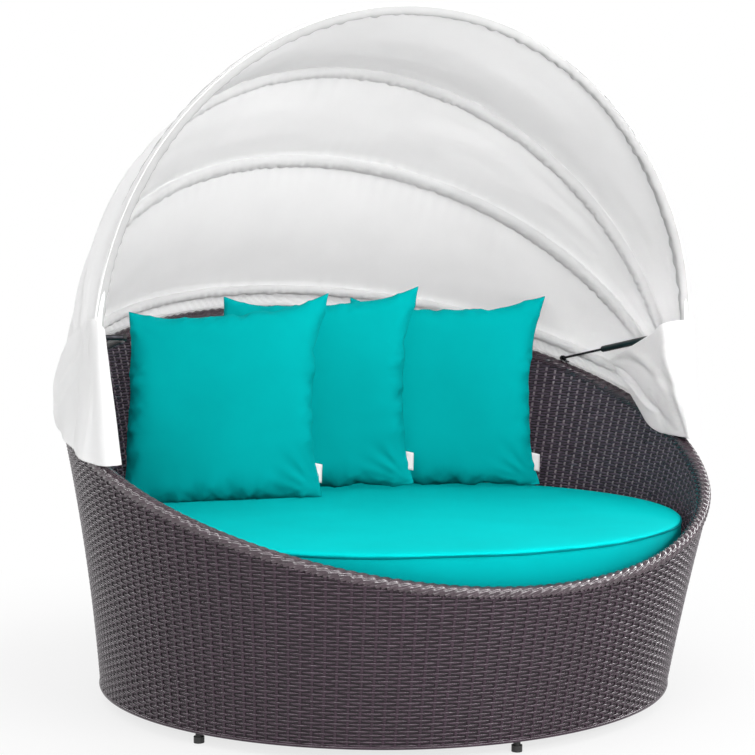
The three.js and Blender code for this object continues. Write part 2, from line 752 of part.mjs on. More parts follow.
// A panel between two hoops is taut along its seams and sags a little between them.
function clothPanel(frontIndex, frontOverhang) {
  const front = clothLine(frontIndex, -seamHalfGap);
  const rear = clothLine(frontIndex + 1, seamHalfGap);
  const grid = [];
  if (frontOverhang > 0) {
    grid.push(clothLine(frontIndex, frontOverhang));
  }
  for (let i = 0; i <= panelRows; i++) {
    const share = i / panelRows;
    grid.push(front.map((point, j) => {
      const span = point.distanceTo(rear[j]);
      const middle = point.clone().lerp(rear[j], share);
      const inward = new THREE.Vector3(0, pivotY - middle.y, pivotHeight - middle.z).normalize();
      return middle.addScaledVector(inward, span * clothSagShare * 4 * share * (1 - share));
    }));
  }
  return sheet(grid, clothThickness);
}

// The rear skirt runs from the rear hoop out over the rim and hangs down outside it in soft folds.
function rearSkirt() {
  const rearIndex = hoopNames.length - 1;
  const line = clothLine(rearIndex, -seamHalfGap);
  const curve = new THREE.CatmullRomCurve3(line);
  const start = radians(skirtStartAngle);
  const grid = [[], [], [], []];
  for (let j = 0; j <= skirtColumns; j++) {
    const share = j / skirtColumns;
    const angle = start + (2 * Math.PI - 2 * start) * share;
    const top = rimTop(angle);
    const wave = skirtFoldDepth * (1 - Math.cos(2 * Math.PI * skirtFolds * share)) / 2;
    const high = curve.getPointAt(share);
    const turn = wallPoint(angle, top, -skirtOutset).setZ(top - skirtRimDip);
    const middle = high.clone().lerp(turn, 1 / 2);
    middle.z += skirtBulge;
    const hem = wallPoint(angle, top, -skirtOutset - wave).setZ(top - skirtDrop);
    [high, middle, turn, hem].forEach((point, i) => grid[i].push(point));
  }
  return sheet(grid, clothThickness);
}

// A hinge flap is folded round the leg of the front hoop: one side hangs inside the rim, one outside.
// The right flap's inner side covers the end of its strut, and the left flap's is only a narrow return.
// The edges are curves through points: distance outside the hoop, behind the pivot and above the pivot.
const flapOuterFace = clothClearance + clothThickness;
const rightFlapTop = [
  [-53, 249, 139], [-78, 104, 183], [-81, 9, 218], [-79, -33, 240], [-20, -58, 250],
  [flapOuterFace, -46, 254], [flapOuterFace, 52, 240],
];
const rightFlapHem = [
  [-46, 194, 72], [-30, 119, -30], [-23, 60, -54], [-23, 29, -58], [-23, -71, -63],
  [27, -40, -61], [32, 51, -53],
];
const leftFlapTop = [
  [-14, -32, 222], [-9, -50, 228], [5, -58, 240], [flapOuterFace, -46, 250], [flapOuterFace, 52, 240],
];
const leftFlapHem = [
  [-40, -86, -68], [-33, -102, -70], [0, -98, -72], [27, -40, -72], [32, 51, -58],
];

function flapEdge(side, points, columns) {
  const places = points.map(([out, back, up]) => {
    const x = hoopX(0, Math.hypot(back, up)) + out;
    return new THREE.Vector3(side * x, pivotY + back, pivotHeight + up);
  });
  return new THREE.CatmullRomCurve3(places, false, 'centripetal').getPoints(columns);
}

function hingeFlap(side, topPoints, hemPoints) {
  const columns = (topPoints.length - 1) * 3;
  const top = flapEdge(side, topPoints, columns);
  const hem = flapEdge(side, hemPoints, columns);
  const grid = [];
  for (let i = 0; i <= flapRows; i++) {
    grid.push(top.map((from, j) => from.clone().lerp(hem[j], i / flapRows)));
  }
  return sheet(grid, clothThickness);
}

function addCanopyCloth() {
  add('canopy_front_panel', clothPanel(0, panelFrontOverhang), canopyCloth);
  add('canopy_middle_panel', clothPanel(1, 0), canopyCloth);
  add('canopy_rear_panel', clothPanel(2, 0), canopyCloth);
  add('rear_skirt', rearSkirt(), canopyCloth);
  add('hinge_flap_right', hingeFlap(1, rightFlapTop, rightFlapHem), canopyCloth);
  add('hinge_flap_left', hingeFlap(-1, leftFlapTop, leftFlapHem), canopyCloth);
}

// The cushions

const cushionRadius = wallRadius(cushionSeamHeight) - wallThickness - cushionEdgeGap;
const cushionCentreY = wallCentre(cushionSeamHeight) + cushionBackShift;

// The crown of the seat cushion from the seam to the middle: radius and height
const seatCrown = [
  [cushionRadius, cushionSeamHeight],
  [cushionRadius - cushionCrownWidth * crownEdgeWidthShare, cushionSeamHeight + cushionCrown * crownEdgeRiseShare],
  [cushionRadius - cushionCrownWidth, cushionSeamHeight + cushionCrown * crownRiseShare],
  [cushionRadius / 2, cushionSeamHeight + cushionCrown],
  [0, cushionSeamHeight + cushionCrown],
];

// Height of the seat's surface at a place
function seatHeight(x, y) {
  const radius = Math.min(Math.hypot(x, y - cushionCentreY), cushionRadius);
  const outer = seatCrown.findLastIndex((point) => point[0] >= radius);
  const [from, to] = [seatCrown[outer], seatCrown[outer + 1]];
  return THREE.MathUtils.mapLinear(radius, from[0], to[0], from[1], to[1]);
}

function addSeatCushion() {
  const bottom = deckTopHeight + touchGap;
  const lowerSeam = bottom + cushionBottomRise;
  const bottomRadius = cushionRadius - cushionBottomInset;
  const lower = [[0, bottom], [bottomRadius, bottom], [cushionRadius - cushionLowerInset, lowerSeam]];
  const outline = [...lower, ...seatCrown].map(([radius, z]) => new THREE.Vector2(radius, z));
  const cushion = new THREE.LatheGeometry(outline, cushionSegments);
  cushion.rotateX(Math.PI / 2);
  add('seat_cushion', cushion, seatCloth).position.y = cushionCentreY;
}

// A pillow has pointed corners, sides that draw in, and a crowned face on both sides.
function pillow(corners) {
  const [upperLeft, upperRight, lowerRight, lowerLeft] = corners;
  const along = upperRight.clone().sub(upperLeft);
  const back = along.cross(lowerLeft.clone().sub(upperLeft)).normalize();
  const points = [];
  const place = (i, j, side) => {
    const u = (2 * i) / pillowSteps - 1;
    const v = (2 * j) / pillowSteps - 1;
    const x = (1 + u * (1 - pillowWaistShare * (1 - v * v))) / 2;
    const y = (1 + v * (1 - pillowWaistShare * (1 - u * u))) / 2;
    const upper = upperLeft.clone().lerp(upperRight, x);
    const lower = lowerLeft.clone().lerp(lowerRight, x);
    const swellShare = Math.sqrt(Math.max(0, (1 - u * u) * (1 - v * v)));
    const out = side * (pillowSeamHalfThickness + pillowHalfThickness * swellShare);
    return lower.lerp(upper, y).addScaledVector(back, out);
  };
  for (const side of [-1, 1]) {
    for (let i = 0; i <= pillowSteps; i++) {
      for (let j = 0; j <= pillowSteps; j++) {
        points.push(place(i, j, side));
      }
    }
  }
  const row = pillowSteps + 1;
  const at = (side, i, j) => side * row * row + i * row + j;
  const triangles = [];
  const quad = (a, b, c, d) => triangles.push([a, b, c], [a, c, d]);
  for (let i = 0; i < pillowSteps; i++) {
    for (let j = 0; j < pillowSteps; j++) {
      quad(at(0, i, j), at(0, i + 1, j), at(0, i + 1, j + 1), at(0, i, j + 1));
      quad(at(1, i, j), at(1, i, j + 1), at(1, i + 1, j + 1), at(1, i + 1, j));
    }
    quad(at(0, i, 0), at(1, i, 0), at(1, i + 1, 0), at(0, i + 1, 0));
    quad(at(0, i + 1, pillowSteps), at(1, i + 1, pillowSteps), at(1, i, pillowSteps), at(0, i, pillowSteps));
    quad(at(0, 0, i + 1), at(1, 0, i + 1), at(1, 0, i), at(0, 0, i));
    quad(at(0, pillowSteps, i), at(1, pillowSteps, i), at(1, pillowSteps, i + 1), at(0, pillowSteps, i + 1));
  }
  return body(points, triangles);
}

function addPillows() {
  for (const [name, places] of Object.entries(pillowCorners)) {
    const corners = places.map(([x, y, height]) => {
      return new THREE.Vector3(x, y, seatHeight(x, y) + touchGap + height);
    });
    add(name, pillow(corners), pillowCloth);
  }
}

addRings();
addUprights();
addDeck();
addWicker();
addRimWrap();
addFeet();
addHoops();
addPivots();
addStruts();
addCanopyCloth();
addSeatCushion();
addPillows();

export default daybed;
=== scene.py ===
import json
import math
import bpy
import numpy as np
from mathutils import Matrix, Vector


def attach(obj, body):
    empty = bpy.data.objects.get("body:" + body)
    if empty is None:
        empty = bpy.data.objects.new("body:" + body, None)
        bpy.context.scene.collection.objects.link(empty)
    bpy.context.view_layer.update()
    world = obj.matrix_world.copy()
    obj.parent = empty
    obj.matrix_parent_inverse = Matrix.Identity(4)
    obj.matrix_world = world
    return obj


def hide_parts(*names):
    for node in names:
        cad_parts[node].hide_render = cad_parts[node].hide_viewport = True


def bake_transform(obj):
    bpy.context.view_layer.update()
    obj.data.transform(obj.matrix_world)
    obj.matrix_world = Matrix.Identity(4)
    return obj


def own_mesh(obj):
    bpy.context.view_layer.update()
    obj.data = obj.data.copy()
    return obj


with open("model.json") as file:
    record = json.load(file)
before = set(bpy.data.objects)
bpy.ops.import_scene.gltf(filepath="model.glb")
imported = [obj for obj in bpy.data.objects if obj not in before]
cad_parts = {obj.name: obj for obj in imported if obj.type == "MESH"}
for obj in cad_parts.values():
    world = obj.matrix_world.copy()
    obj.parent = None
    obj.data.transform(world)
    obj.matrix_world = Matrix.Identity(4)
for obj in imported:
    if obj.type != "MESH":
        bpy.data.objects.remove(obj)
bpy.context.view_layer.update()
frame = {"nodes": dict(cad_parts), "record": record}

# Outdoor daybed with canopy. Metres, +Z up, the front faces -Y.

# Sizes that repeat the CAD's
BASE_RADIUS = 0.720
BASE_LIFT = 0.025
RIM_FRONT = 0.379
RIM_SIDE = 0.666
RIM_BACK = 0.978
RIM_SHOULDER = 0.0029
FLARE_SHARE = 0.101
FLARE_BOW_SHARE = 0.088
LEAN_SHARE = 0.1383
LEAN_BOW_SHARE = 0.0279
WALL_THICKNESS = 0.027
DECK_TOP = 0.320
WRAP_OUTER_RADIUS = 0.0167
HOOP_HALF_WIDTH = 0.79308
PIVOT_Y = -0.179
PIVOT_Z = 0.68506
LEG_LENGTH = 0.167
HOOP_RISES = (0.823, 0.820, 0.795, 0.828)
HOOP_ANGLES = (95.2, 66.9, 46.6, 20.0)

# Camera, fitted to the photograph
CAMERA_PLACE = (-1.607, -3.544, 0.930)
CAMERA_DIRECTION = (0.4127, 0.9101, -0.0369)
CAMERA_LENS = 72.33
CAMERA_SENSOR = 36.0
CAMERA_SHIFT_SHARE = -0.00785
CAMERA_NEAR = 0.05
CAMERA_FAR = 60

# Floor and light
FLOOR_RADIUS = 14
FLOOR_DROP = 0.0005
SHADOW_FULL_RADIUS = 1.0
SHADOW_END_RADIUS = 2.2
FLOOR_WHITE_SHARE = 0.76
WORLD_STRENGTH = 0.68
LAMP_AIM = (0.0, 0.0, 0.7)
GLOSS_STRIPS = 8
STRIP_DISTANCE = 4.6
STRIP_HEIGHT = 2.5
STRIP_SIZE = (3.5, 0.45)
STRIP_POWER = 95
BACK_STRIP_POWER = 42
# Each lamp: name, place, size, power, where it points and how many degrees it spreads
LAMPS = (
    ("front_light", (1.3, -4.3, 2.4), (2.6, 0.5), 70, LAMP_AIM, 180),
    ("left_light", (-3.3, -3.2, 2.3), (2.6, 0.8), 32, LAMP_AIM, 180),
    ("right_light", (4.1, -0.8, 2.2), (2.4, 0.6), 28, LAMP_AIM, 180),
    ("low_light", (-0.9, -4.6, 1.1), (2.6, 1.2), 46, LAMP_AIM, 180),
    ("top_light", (0.3, -1.4, 4.4), (2.4, 1.6), 24, LAMP_AIM, 180),
    ("back_light", (-1.0, 3.4, 3.2), (3.0, 2.0), 22, LAMP_AIM, 180),
    # two beams from low in front into the hollow of the canopy, and one into the shade of the right flap
    ("canopy_light", (1.8, -3.6, 1.0), (1.2, 0.6), 1.2, (-0.25, 0.3, 1.1), 46),
    ("canopy_front_light", (0.7, -2.7, 0.3), (1.0, 0.4), 1.05, (0.35, -0.3, 1.6), 40),
    ("flap_fill_light", (-2.2, -2.9, 1.0), (0.3, 0.3), 0.35, (0.78, -0.16, 0.76), 14),
)

# Fine surface
GRAIN_DEPTH = 0.0002
WEAVE_RELIEF = 0.0006
CLOTH_SCATTER = 0.004

# Wicker
STAKES = 176
STAKE_SAMPLES = 4
STAKE_STEP = 2 * np.pi / (STAKES * STAKE_SAMPLES)
STAKE_HALF_WIDTH = 0.0032
STAKE_SINK = 0.0011
STAKE_INSET = 0.0002
STAKE_PROFILE_SHARES = (1, 0.4, -0.4, -1)
ROW_PITCH = 0.00805
STRAND_SINK = 0.0031
STRAND_INSET_NOISE = 0.00012
STRAND_LEVEL_NOISE = 0.0001
STRAND_PROFILE_SHARES = (-1, -0.62, 0.0, 0.62, 1)
STRAND_WAVE_SHARES = (1.0, 0.86, 0.15, -0.75, -1.0, -0.75, 0.15, 0.86)
STRAND_HALF_SHARE = 0.385
STRAND_SWELL_SHARE = 0.08
STRAND_SWING_SHARE = 1.05
WEAVE_SWING = 0.0015
WEAVE_DEPTH = 0.0040
WEAVE_START = 0.004
WEAVE_BELOW_DECK = 0.010
OUTER_SECTORS = 8
INNER_SECTORS = 4
BORDER_DROP = 0.024
WEAVE_END_SHARE = 0.75
BACKING_END_SHARE = 0.6
BACKING_ROWS = 14
BASE_BORDER_LIFT = 0.0045
BASE_BORDER_INSET = 0.002
BASE_BORDER_RADIUS = 0.0042

# Wrapped rim
WRAP_STRANDS = 400
WRAP_SAMPLES = 26
WRAP_SLANT = 0.150
WRAP_INSET = 0.0012
WRAP_SWING = 0.0011
WRAP_SWINGS = 3
WRAP_HALF_WIDTH = 0.0042
WRAP_SINK = 0.0021
WRAP_PROFILE_SHARES = (-1, -0.55, 0, 0.55, 1)
WRAP_BACKING_INSET = 0.0036
WRAP_BACKING_COLUMNS = 240
WRAP_BACKING_ROWS = 10
WRAP_BACKING_EDGE_SHARE = 0.02

# Canopy
BODIES_OF_HOOPS = ("front_hoop", "second_hoop", "third_hoop", "frame")
PANEL_NODES = ("canopy_front_panel", "canopy_middle_panel", "canopy_rear_panel")
CLOTH_THICKNESS = 0.0012
CLOTH_CLEARANCE = 0.0108
CLOTH_SAG_SHARE = 0.035
BLEND_REACH = 0.9
PANEL_ARCH_STEPS = 420
PANEL_LEG_STEPS = 16
PANEL_ROWS = 40
PANEL_START = 0.060
PANEL_GAP = 0.0008
PANEL_SWELL = 0.045
PANEL_SWELL_SHARE = 0.55
PANEL_FULL_SPAN = 0.3
PANEL_FOLD = 0.0035
PANEL_RUMPLE = 0.0016
PANEL_PUCKER = 0.0016
FRONT_OVERHANG = 0.012
FRONT_CURL = 0.0015
SLEEVE_ARCH_STEPS = 640
SLEEVE_LEG_STEPS = 8
SLEEVE_ROWS = 21
SLEEVE_THICKNESS = 0.0008
SLEEVE_START = 0.135
SLEEVE_FULL_REACH = 0.400
SLEEVE_LEAST_SHARE = 0.35
SLEEVE_DEPTH = 0.0215
SLEEVE_INSET = 0.0014
SLEEVE_PUCKER = 0.0019
SLEEVE_WIDTHS = ((0.0125, 0.020), (0.0165, 0.0185), (0.0165, 0.0185), (0.0125, 0.0125))
# the first two sleeves take darker copies of the canopy cloth: painted shade on their grey bands
SLEEVE_CLOTHS = ("front_sleeve_shade_cloth", "second_sleeve_shade_cloth", "canopy_cloth", "canopy_cloth")
POCKET_RADIUS = 0.0098
SEAM_RADIUS = 0.0017
SEAM_INSET = 0.0030
SEAM_GAP = 0.0008

# Rear skirt
SKIRT_COLUMNS = 420
SKIRT_ROWS = 30
SKIRT_DROP = 0.048
SKIRT_OUTSET = 0.0065
SKIRT_RIM_DIP = 0.004
SKIRT_LEAST_DROP = 0.004
SKIRT_BULGE = 0.026
SKIRT_BULGE_END_SHARE = 0.10
SKIRT_HEM_END_SHARE = 0.12
SKIRT_HEM_WAVE = 0.0015
SKIRT_HEM_WAVES = 12
SKIRT_GATHER = 0.0065
SKIRT_RUMPLE = 0.0012
SKIRT_START = math.radians(88)
SKIRT_PIPING_LIFT = 0.0032
SKIRT_PIPING_INSET_SHARE = 0.24
SKIRT_PIPING_RADIUS = 0.0024

# Hinge flaps. Each edge: how far out of the hoop, behind the pivot and above it
FLAP_COLUMNS = 200
FLAP_ROWS = 90
FLAP_FACE = 0.0128
FLAP_TAIL_SHARE = 0.62
FLAP_TAIL_BOW = 0.010
FLAP_HANG = 0.0035
FLAP_DRAPE = 0.0026
FLAP_TAIL_TOP = [(0.017, 0.052, 0.238), (0.030, 0.130, 0.205), (0.035, 0.200, 0.168)]
FLAP_TAIL_HEM = [
    (0.040, 0.030, -0.048), (0.045, 0.090, -0.028), (0.047, 0.150, -0.006), (0.047, 0.200, 0.030),
]
RIGHT_FLAP_TOP = [
    (-0.053, 0.249, 0.139), (-0.078, 0.104, 0.183), (-0.081, 0.009, 0.218), (-0.079, -0.033, 0.240),
    (-0.020, -0.058, 0.250), (FLAP_FACE, -0.046, 0.254), *FLAP_TAIL_TOP,
]
RIGHT_FLAP_HEM = [
    (-0.046, 0.194, 0.072), (-0.030, 0.119, -0.030), (-0.023, 0.060, -0.054), (-0.023, 0.029, -0.058),
    (-0.023, -0.071, -0.063), (0.027, -0.040, -0.061), *FLAP_TAIL_HEM,
]
LEFT_FLAP_TOP = [
    (-0.014, -0.032, 0.222), (-0.009, -0.050, 0.228), (0.005, -0.058, 0.240), (FLAP_FACE, -0.046, 0.250),
    *FLAP_TAIL_TOP,
]
LEFT_FLAP_HEM = [
    (-0.040, -0.086, -0.068), (-0.033, -0.102, -0.070), (0.0, -0.098, -0.072), (0.030, -0.040, -0.066),
    *FLAP_TAIL_HEM,
]
# Each crease: where it starts and ends along and down the flap in shares, its depth, and its width in shares
RIGHT_CREASES = [
    (0.02, 0.30, 0.40, 0.95, 0.0090, 0.030), (0.10, 0.10, 0.45, 0.55, 0.0080, 0.040),
    (0.20, 0.05, 0.50, 0.80, -0.0090, 0.045), (0.38, 0.35, 0.47, 1.0, 0.0080, 0.022),
    (0.43, 0.20, 0.50, 1.0, -0.0070, 0.020), (0.08, 0.62, 0.30, 0.80, -0.0060, 0.022),
    (0.28, 0.55, 0.33, 1.0, 0.0060, 0.020), (0.60, 0.0, 0.68, 0.9, 0.0050, 0.030),
]
LEFT_CREASES = [
    (0.30, 0.05, 0.85, 0.45, 0.0040, 0.035), (0.45, 0.30, 0.95, 0.80, -0.0035, 0.040),
    (0.25, 0.35, 0.35, 1.0, 0.0035, 0.025), (0.50, 0.45, 0.55, 1.0, -0.0030, 0.025),
]

# Seat. Its profile runs from the middle of the underside out, up the side and over the top to the middle
SEAT_COLUMNS = 288
SEAT_RADIUS = 0.733
SEAT_CENTRE_Y = -0.040
SEAT_BOTTOM_RADIUS = 0.690
SEAT_LOWER_RADIUS = 0.718
SEAT_SEAM = 0.440
SEAT_CROWN = 0.015
SEAT_CROWN_WIDTH = 0.150
SEAT_GAP = 0.0006
SEAT_LEAST_RADIUS = 0.004
SEAT_UNDERSIDE_SHARES = (0.0, 0.5, 0.8, 1.0)
# out from the lower radius, and above the deck
SEAT_SIDE = ((-0.006, 0.006), (0.0, 0.018), (0.006, 0.045), (0.010, 0.075))
# in from the radius, and above the seam
SEAT_EDGE = (
    (0.003, -0.018), (0.0035, -0.007), (0.006, -0.0015), (0.006, 0.0015), (0.004, 0.006),
    (0.010, 0.0095), (0.025, 0.0115), (0.060, 0.0130), (0.110, 0.0135),
)
# share of the radius, and above the seam
SEAT_TOP = ((0.72, 0.0142), (0.55, 0.0146), (0.35, 0.0148), (0.15, 0.015), (0.0, 0.015))
SEAT_SIDE_ROWS = range(6, 9)
SEAT_PUCKER_ROWS = range(6, 16)
SEAT_TOP_ROW = 16
SEAT_PUCKER = 0.0009
SEAT_PUCKER_REACH = 0.012
SEAT_RUMPLE = 0.0011
SEAT_WAVE = 0.0012
PIPING_INSET = 0.0038
PIPING_RADIUS = 0.0022

# Pillows. Each corner: x, y and how far above the seat, from the upper left one clockwise
PILLOW_GRID = 64
PILLOW_CUT = 0.56
PILLOW_START_SWELL = 0.02
PILLOW_HALF_THICKNESS = 0.0784
PILLOW_GAP = 0.0008
PILLOW_PRESSURE = 4.0
PILLOW_FRAMES = 16
PILLOW_MOST_MOVE = 0.12
PILLOW_CORNERS = {
    "pillow_left": (
        (-0.555, 0.430, 0.518), (-0.020, 0.310, 0.557), (-0.072, 0.234, 0.0), (-0.604, 0.345, 0.0),
    ),
    "pillow_middle": (
        (-0.240, 0.580, 0.555), (0.262, 0.325, 0.580), (0.234, 0.300, 0.016), (-0.270, 0.550, 0.0),
    ),
    "pillow_right": (
        (0.134, 0.537, 0.550), (0.640, 0.266, 0.563), (0.608, 0.240, 0.008), (0.105, 0.510, 0.0),
    ),
}
LEFT_DRAW_SHARE = 0.055
RIGHT_DRAW_SHARE = 0.15
BOTTOM_DRAW_SHARE = 0.012
TOP_DRAW_SHARE = 0.155
# Each crease from a corner: its direction and width in degrees and its depth
LOWER_CORNER_CREASES = ((24, 5, 0.010), (41, 5, 0.013), (58, 6, 0.010), (76, 5, 0.008), (12, 4, 0.008))
UPPER_CORNER_CREASES = ((30, 7, 0.003), (55, 6, 0.003))
BOTTOM_WRINKLE = 0.0048
SEAM_PUCKER = 0.0013
PILLOW_RUMPLE = 0.0022
PILLOW_EDGE_DEPTH = 0.03
TAG_ROWS = 9
TAG_COLUMNS = 5
TAG_LENGTH = 0.050
TAG_WIDTH = 0.024
TAG_SLANT = 0.006
TAG_BOW = 0.003
TAG_LEAN = 0.002
TAG_THICKNESS = 0.0006
TAG_ABOVE_CORNER = 0.045
TAG_INSET = 0.030


# Camera, floor and light

def add_camera():
    data = bpy.data.cameras.new("camera")
    camera = bpy.data.objects.new("camera", data)
    bpy.context.scene.collection.objects.link(camera)
    camera.location = CAMERA_PLACE
    camera.rotation_mode = "QUATERNION"
    camera.rotation_quaternion = Vector(CAMERA_DIRECTION).to_track_quat("-Z", "Y")
    data.sensor_width = CAMERA_SENSOR
    data.lens = CAMERA_LENS
    data.shift_x = CAMERA_SHIFT_SHARE
    data.clip_start = CAMERA_NEAR
    data.clip_end = CAMERA_FAR
    bpy.context.scene.camera = camera


def set_inputs(tree, node, inputs):
    """Each input is a value, or the output of another node to link from."""
    for key, value in inputs.items():
        if isinstance(value, bpy.types.NodeSocket):
            tree.links.new(value, node.inputs[key])
        else:
            node.inputs[key].default_value = value


def add_node(tree, kind, inputs, **settings):
    """Adds a shader node and returns its first output, or none."""
    node = tree.nodes.new("ShaderNode" + kind)
    for key, value in settings.items():
        setattr(node, key, value)
    set_inputs(tree, node, inputs)
    return node.outputs[0] if node.outputs else None


def grey(level):
    return level, level, level, 1


def seen_by(tree, *rays):
    """1 for the kinds of ray named, 0 for the others."""
    path = tree.nodes.new("ShaderNodeLightPath")
    seen = path.outputs[rays[0]]
    for ray in rays[1:]:
        seen = add_node(tree, "Math", {0: seen, 1: path.outputs[ray]}, operation="MAXIMUM")
    return seen


def mix_shaders(tree, share, first, second):
    return add_node(tree, "MixShader", {0: share, 1: first, 2: second})


def floor_material():
    """A pale floor that keeps the object's shadow and turns into the white background further out."""
    material = bpy.data.materials.new("stage_floor")
    material.use_nodes = True
    tree = material.node_tree
    tree.nodes.clear()
    place = tree.nodes.new("ShaderNodeTexCoord").outputs["Object"]
    length = tree.nodes.new("ShaderNodeVectorMath")
    length.operation = "LENGTH"
    set_inputs(tree, length, {0: place})
    ends = {"From Min": SHADOW_FULL_RADIUS, "From Max": SHADOW_END_RADIUS, "Value": length.outputs["Value"]}
    outside = add_node(tree, "MapRange", ends, interpolation_type="SMOOTHSTEP")
    seen = seen_by(tree, "Is Camera Ray", "Is Glossy Ray", "Is Transmission Ray")
    pale = add_node(tree, "Math", {0: seen, 1: FLOOR_WHITE_SHARE}, operation="MULTIPLY")
    white = add_node(tree, "Emission", {"Color": grey(1)})
    near = mix_shaders(tree, pale, add_node(tree, "BsdfDiffuse", {"Color": grey(0.93)}), white)
    far = mix_shaders(tree, seen, add_node(tree, "BsdfDiffuse", {"Color": grey(0.8)}), white)
    add_node(tree, "OutputMaterial", {"Surface": mix_shaders(tree, outside, near, far)})
    return material


def add_floor():
    place = (0, 0, -FLOOR_DROP)
    bpy.ops.mesh.primitive_circle_add(vertices=96, radius=FLOOR_RADIUS, fill_type="NGON", location=place)
    floor = bpy.context.object
    floor.name = "stage_floor"
    floor.data.materials.append(floor_material())


def add_world():
    """Soft light all round, behind which the camera sees plain white."""
    world = bpy.data.worlds.new("studio")
    bpy.context.scene.world = world
    world.use_nodes = True
    tree = world.node_tree
    tree.nodes.clear()
    soft = add_node(tree, "Background", {"Color": grey(1), "Strength": WORLD_STRENGTH})
    white = add_node(tree, "Background", {"Color": grey(1), "Strength": 1.0})
    seen = seen_by(tree, "Is Camera Ray", "Is Transmission Ray")
    add_node(tree, "OutputWorld", {"Surface": mix_shaders(tree, seen, soft, white)})


def add_lamp(name, place, size, power, aim=LAMP_AIM, spread=180):
    data = bpy.data.lights.new(name, "AREA")
    data.shape = "RECTANGLE"
    data.size, data.size_y = size
    data.energy = power
    data.spread = math.radians(spread)
    lamp = bpy.data.objects.new(name, data)
    bpy.context.scene.collection.objects.link(lamp)
    lamp.location = place
    lamp.rotation_mode = "QUATERNION"
    lamp.rotation_quaternion = (Vector(aim) - Vector(place)).to_track_quat("-Z", "Y")
    return lamp


def add_lamps():
    for lamp in LAMPS:
        add_lamp(*lamp)
    # strips of light all round that only glossy surfaces show, weaker behind
    for number in range(GLOSS_STRIPS):
        turn = 2 * math.pi * number / GLOSS_STRIPS
        place = (STRIP_DISTANCE * math.sin(turn), -STRIP_DISTANCE * math.cos(turn), STRIP_HEIGHT)
        power = STRIP_POWER if math.cos(turn) > -0.1 else BACK_STRIP_POWER
        lamp = add_lamp(f"gloss_strip_{number + 1}", place, STRIP_SIZE, power)
        lamp.visible_diffuse = False


# Materials

MATERIALS = {}


def new_material(name):
    """A material, its node tree, its shader and the place on the object that its patterns follow."""
    material = bpy.data.materials.new(name)
    material.use_nodes = True
    tree = material.node_tree
    place = tree.nodes.new("ShaderNodeTexCoord").outputs["Object"]
    return material, tree, tree.nodes["Principled BSDF"], place


def srgb(red, green, blue):
    out = []
    for c in (red, green, blue):
        c = c / 255
        out.append(c / 12.92 if c <= 0.04045 else ((c + 0.055) / 1.055) ** 2.4)
    return (*out, 1.0)


def noise(tree, place, scale, detail=2.0, roughness=0.5):
    values = {"Vector": place, "Scale": scale, "Detail": detail, "Roughness": roughness}
    return add_node(tree, "TexNoise", values)


def stretched(tree, place, scales):
    return add_node(tree, "Mapping", {"Vector": place, "Scale": scales})


def tones(tree, source, dark, light, low=0.3, high=0.7):
    """Runs from the dark tone to the light one as the source goes from low to high."""
    ramp = tree.nodes.new("ShaderNodeValToRGB")
    for element, position, tone in zip(ramp.color_ramp.elements, (low, high), (dark, light)):
        element.position = position
        element.color = srgb(*tone)
    set_inputs(tree, ramp, {"Fac": source})
    return ramp.outputs["Color"]


def between(tree, source, low, high):
    return add_node(tree, "MapRange", {"Value": source, "To Min": low, "To Max": high})


def bump(tree, height, strength, distance):
    return add_node(tree, "Bump", {"Height": height, "Strength": strength, "Distance": distance})


def wicker_material(name, dark, light, smooth, rough, specular):
    """Strands of extruded plastic: tone varies from strand to strand, with fine grooves along each."""
    material, tree, shader, place = new_material(name)
    strand = noise(tree, stretched(tree, place, (30, 30, 240)), 1.0, 2.0, 0.6)
    groove = noise(tree, stretched(tree, place, (60, 60, 1800)), 1.0, 1.0)
    set_inputs(tree, shader, {
        "Base Color": tones(tree, strand, dark, light, 0.32, 0.72),
        "Roughness": between(tree, noise(tree, place, 900), smooth, rough),
        "Normal": bump(tree, groove, 0.06, GRAIN_DEPTH),
        "Specular IOR Level": specular,
    })
    return material


def cloth_material(name, dark, light, weave_scale, strength=0.12, rough=0.88, specular=0.02, through=0.0):
    """Woven cloth: fine threads both ways in the bump, a slow change of tone and soft creases."""
    material, tree, shader, place = new_material(name)
    threads = []
    for direction in ("X", "Z"):
        wave = tree.nodes.new("ShaderNodeTexWave")
        wave.wave_type = "BANDS"
        wave.bands_direction = direction
        set_inputs(tree, wave, {"Vector": place, "Scale": weave_scale / 6, "Distortion": 0.6, "Detail": 1.0})
        threads.append(wave.outputs["Fac"])
    weave = add_node(tree, "Math", {0: threads[0], 1: threads[1]}, operation="MULTIPLY")
    crease = noise(tree, place, 18, 3.0)
    height = add_node(tree, "Math", {0: crease, 1: 3.0, 2: weave}, operation="MULTIPLY_ADD")
    set_inputs(tree, shader, {
        "Base Color": tones(tree, noise(tree, place, 3.5, 3.0, 0.55), dark, light),
        "Roughness": between(tree, noise(tree, place, 400), rough - 0.07, rough + 0.07),
        "Normal": bump(tree, height, strength, WEAVE_RELIEF),
        "Specular IOR Level": specular,
    })
    if through:
        set_inputs(tree, shader, {
            "Subsurface Weight": through,
            "Subsurface Radius": (1.0, 1.0, 1.0),
            "Subsurface Scale": CLOTH_SCATTER,
        })
    return material


def hard_material(name, dark, light, smooth, rough, metallic, grain):
    """Metal, plastic or board: fine grain in the tone, the roughness and the bump."""
    material, tree, shader, place = new_material(name)
    patch = noise(tree, place, grain, 4.0, 0.6)
    set_inputs(tree, shader, {
        "Base Color": tones(tree, patch, dark, light),
        "Roughness": between(tree, patch, smooth, rough),
        "Normal": bump(tree, noise(tree, place, grain * 12), 0.1, GRAIN_DEPTH),
        "Metallic": metallic,
    })
    return material


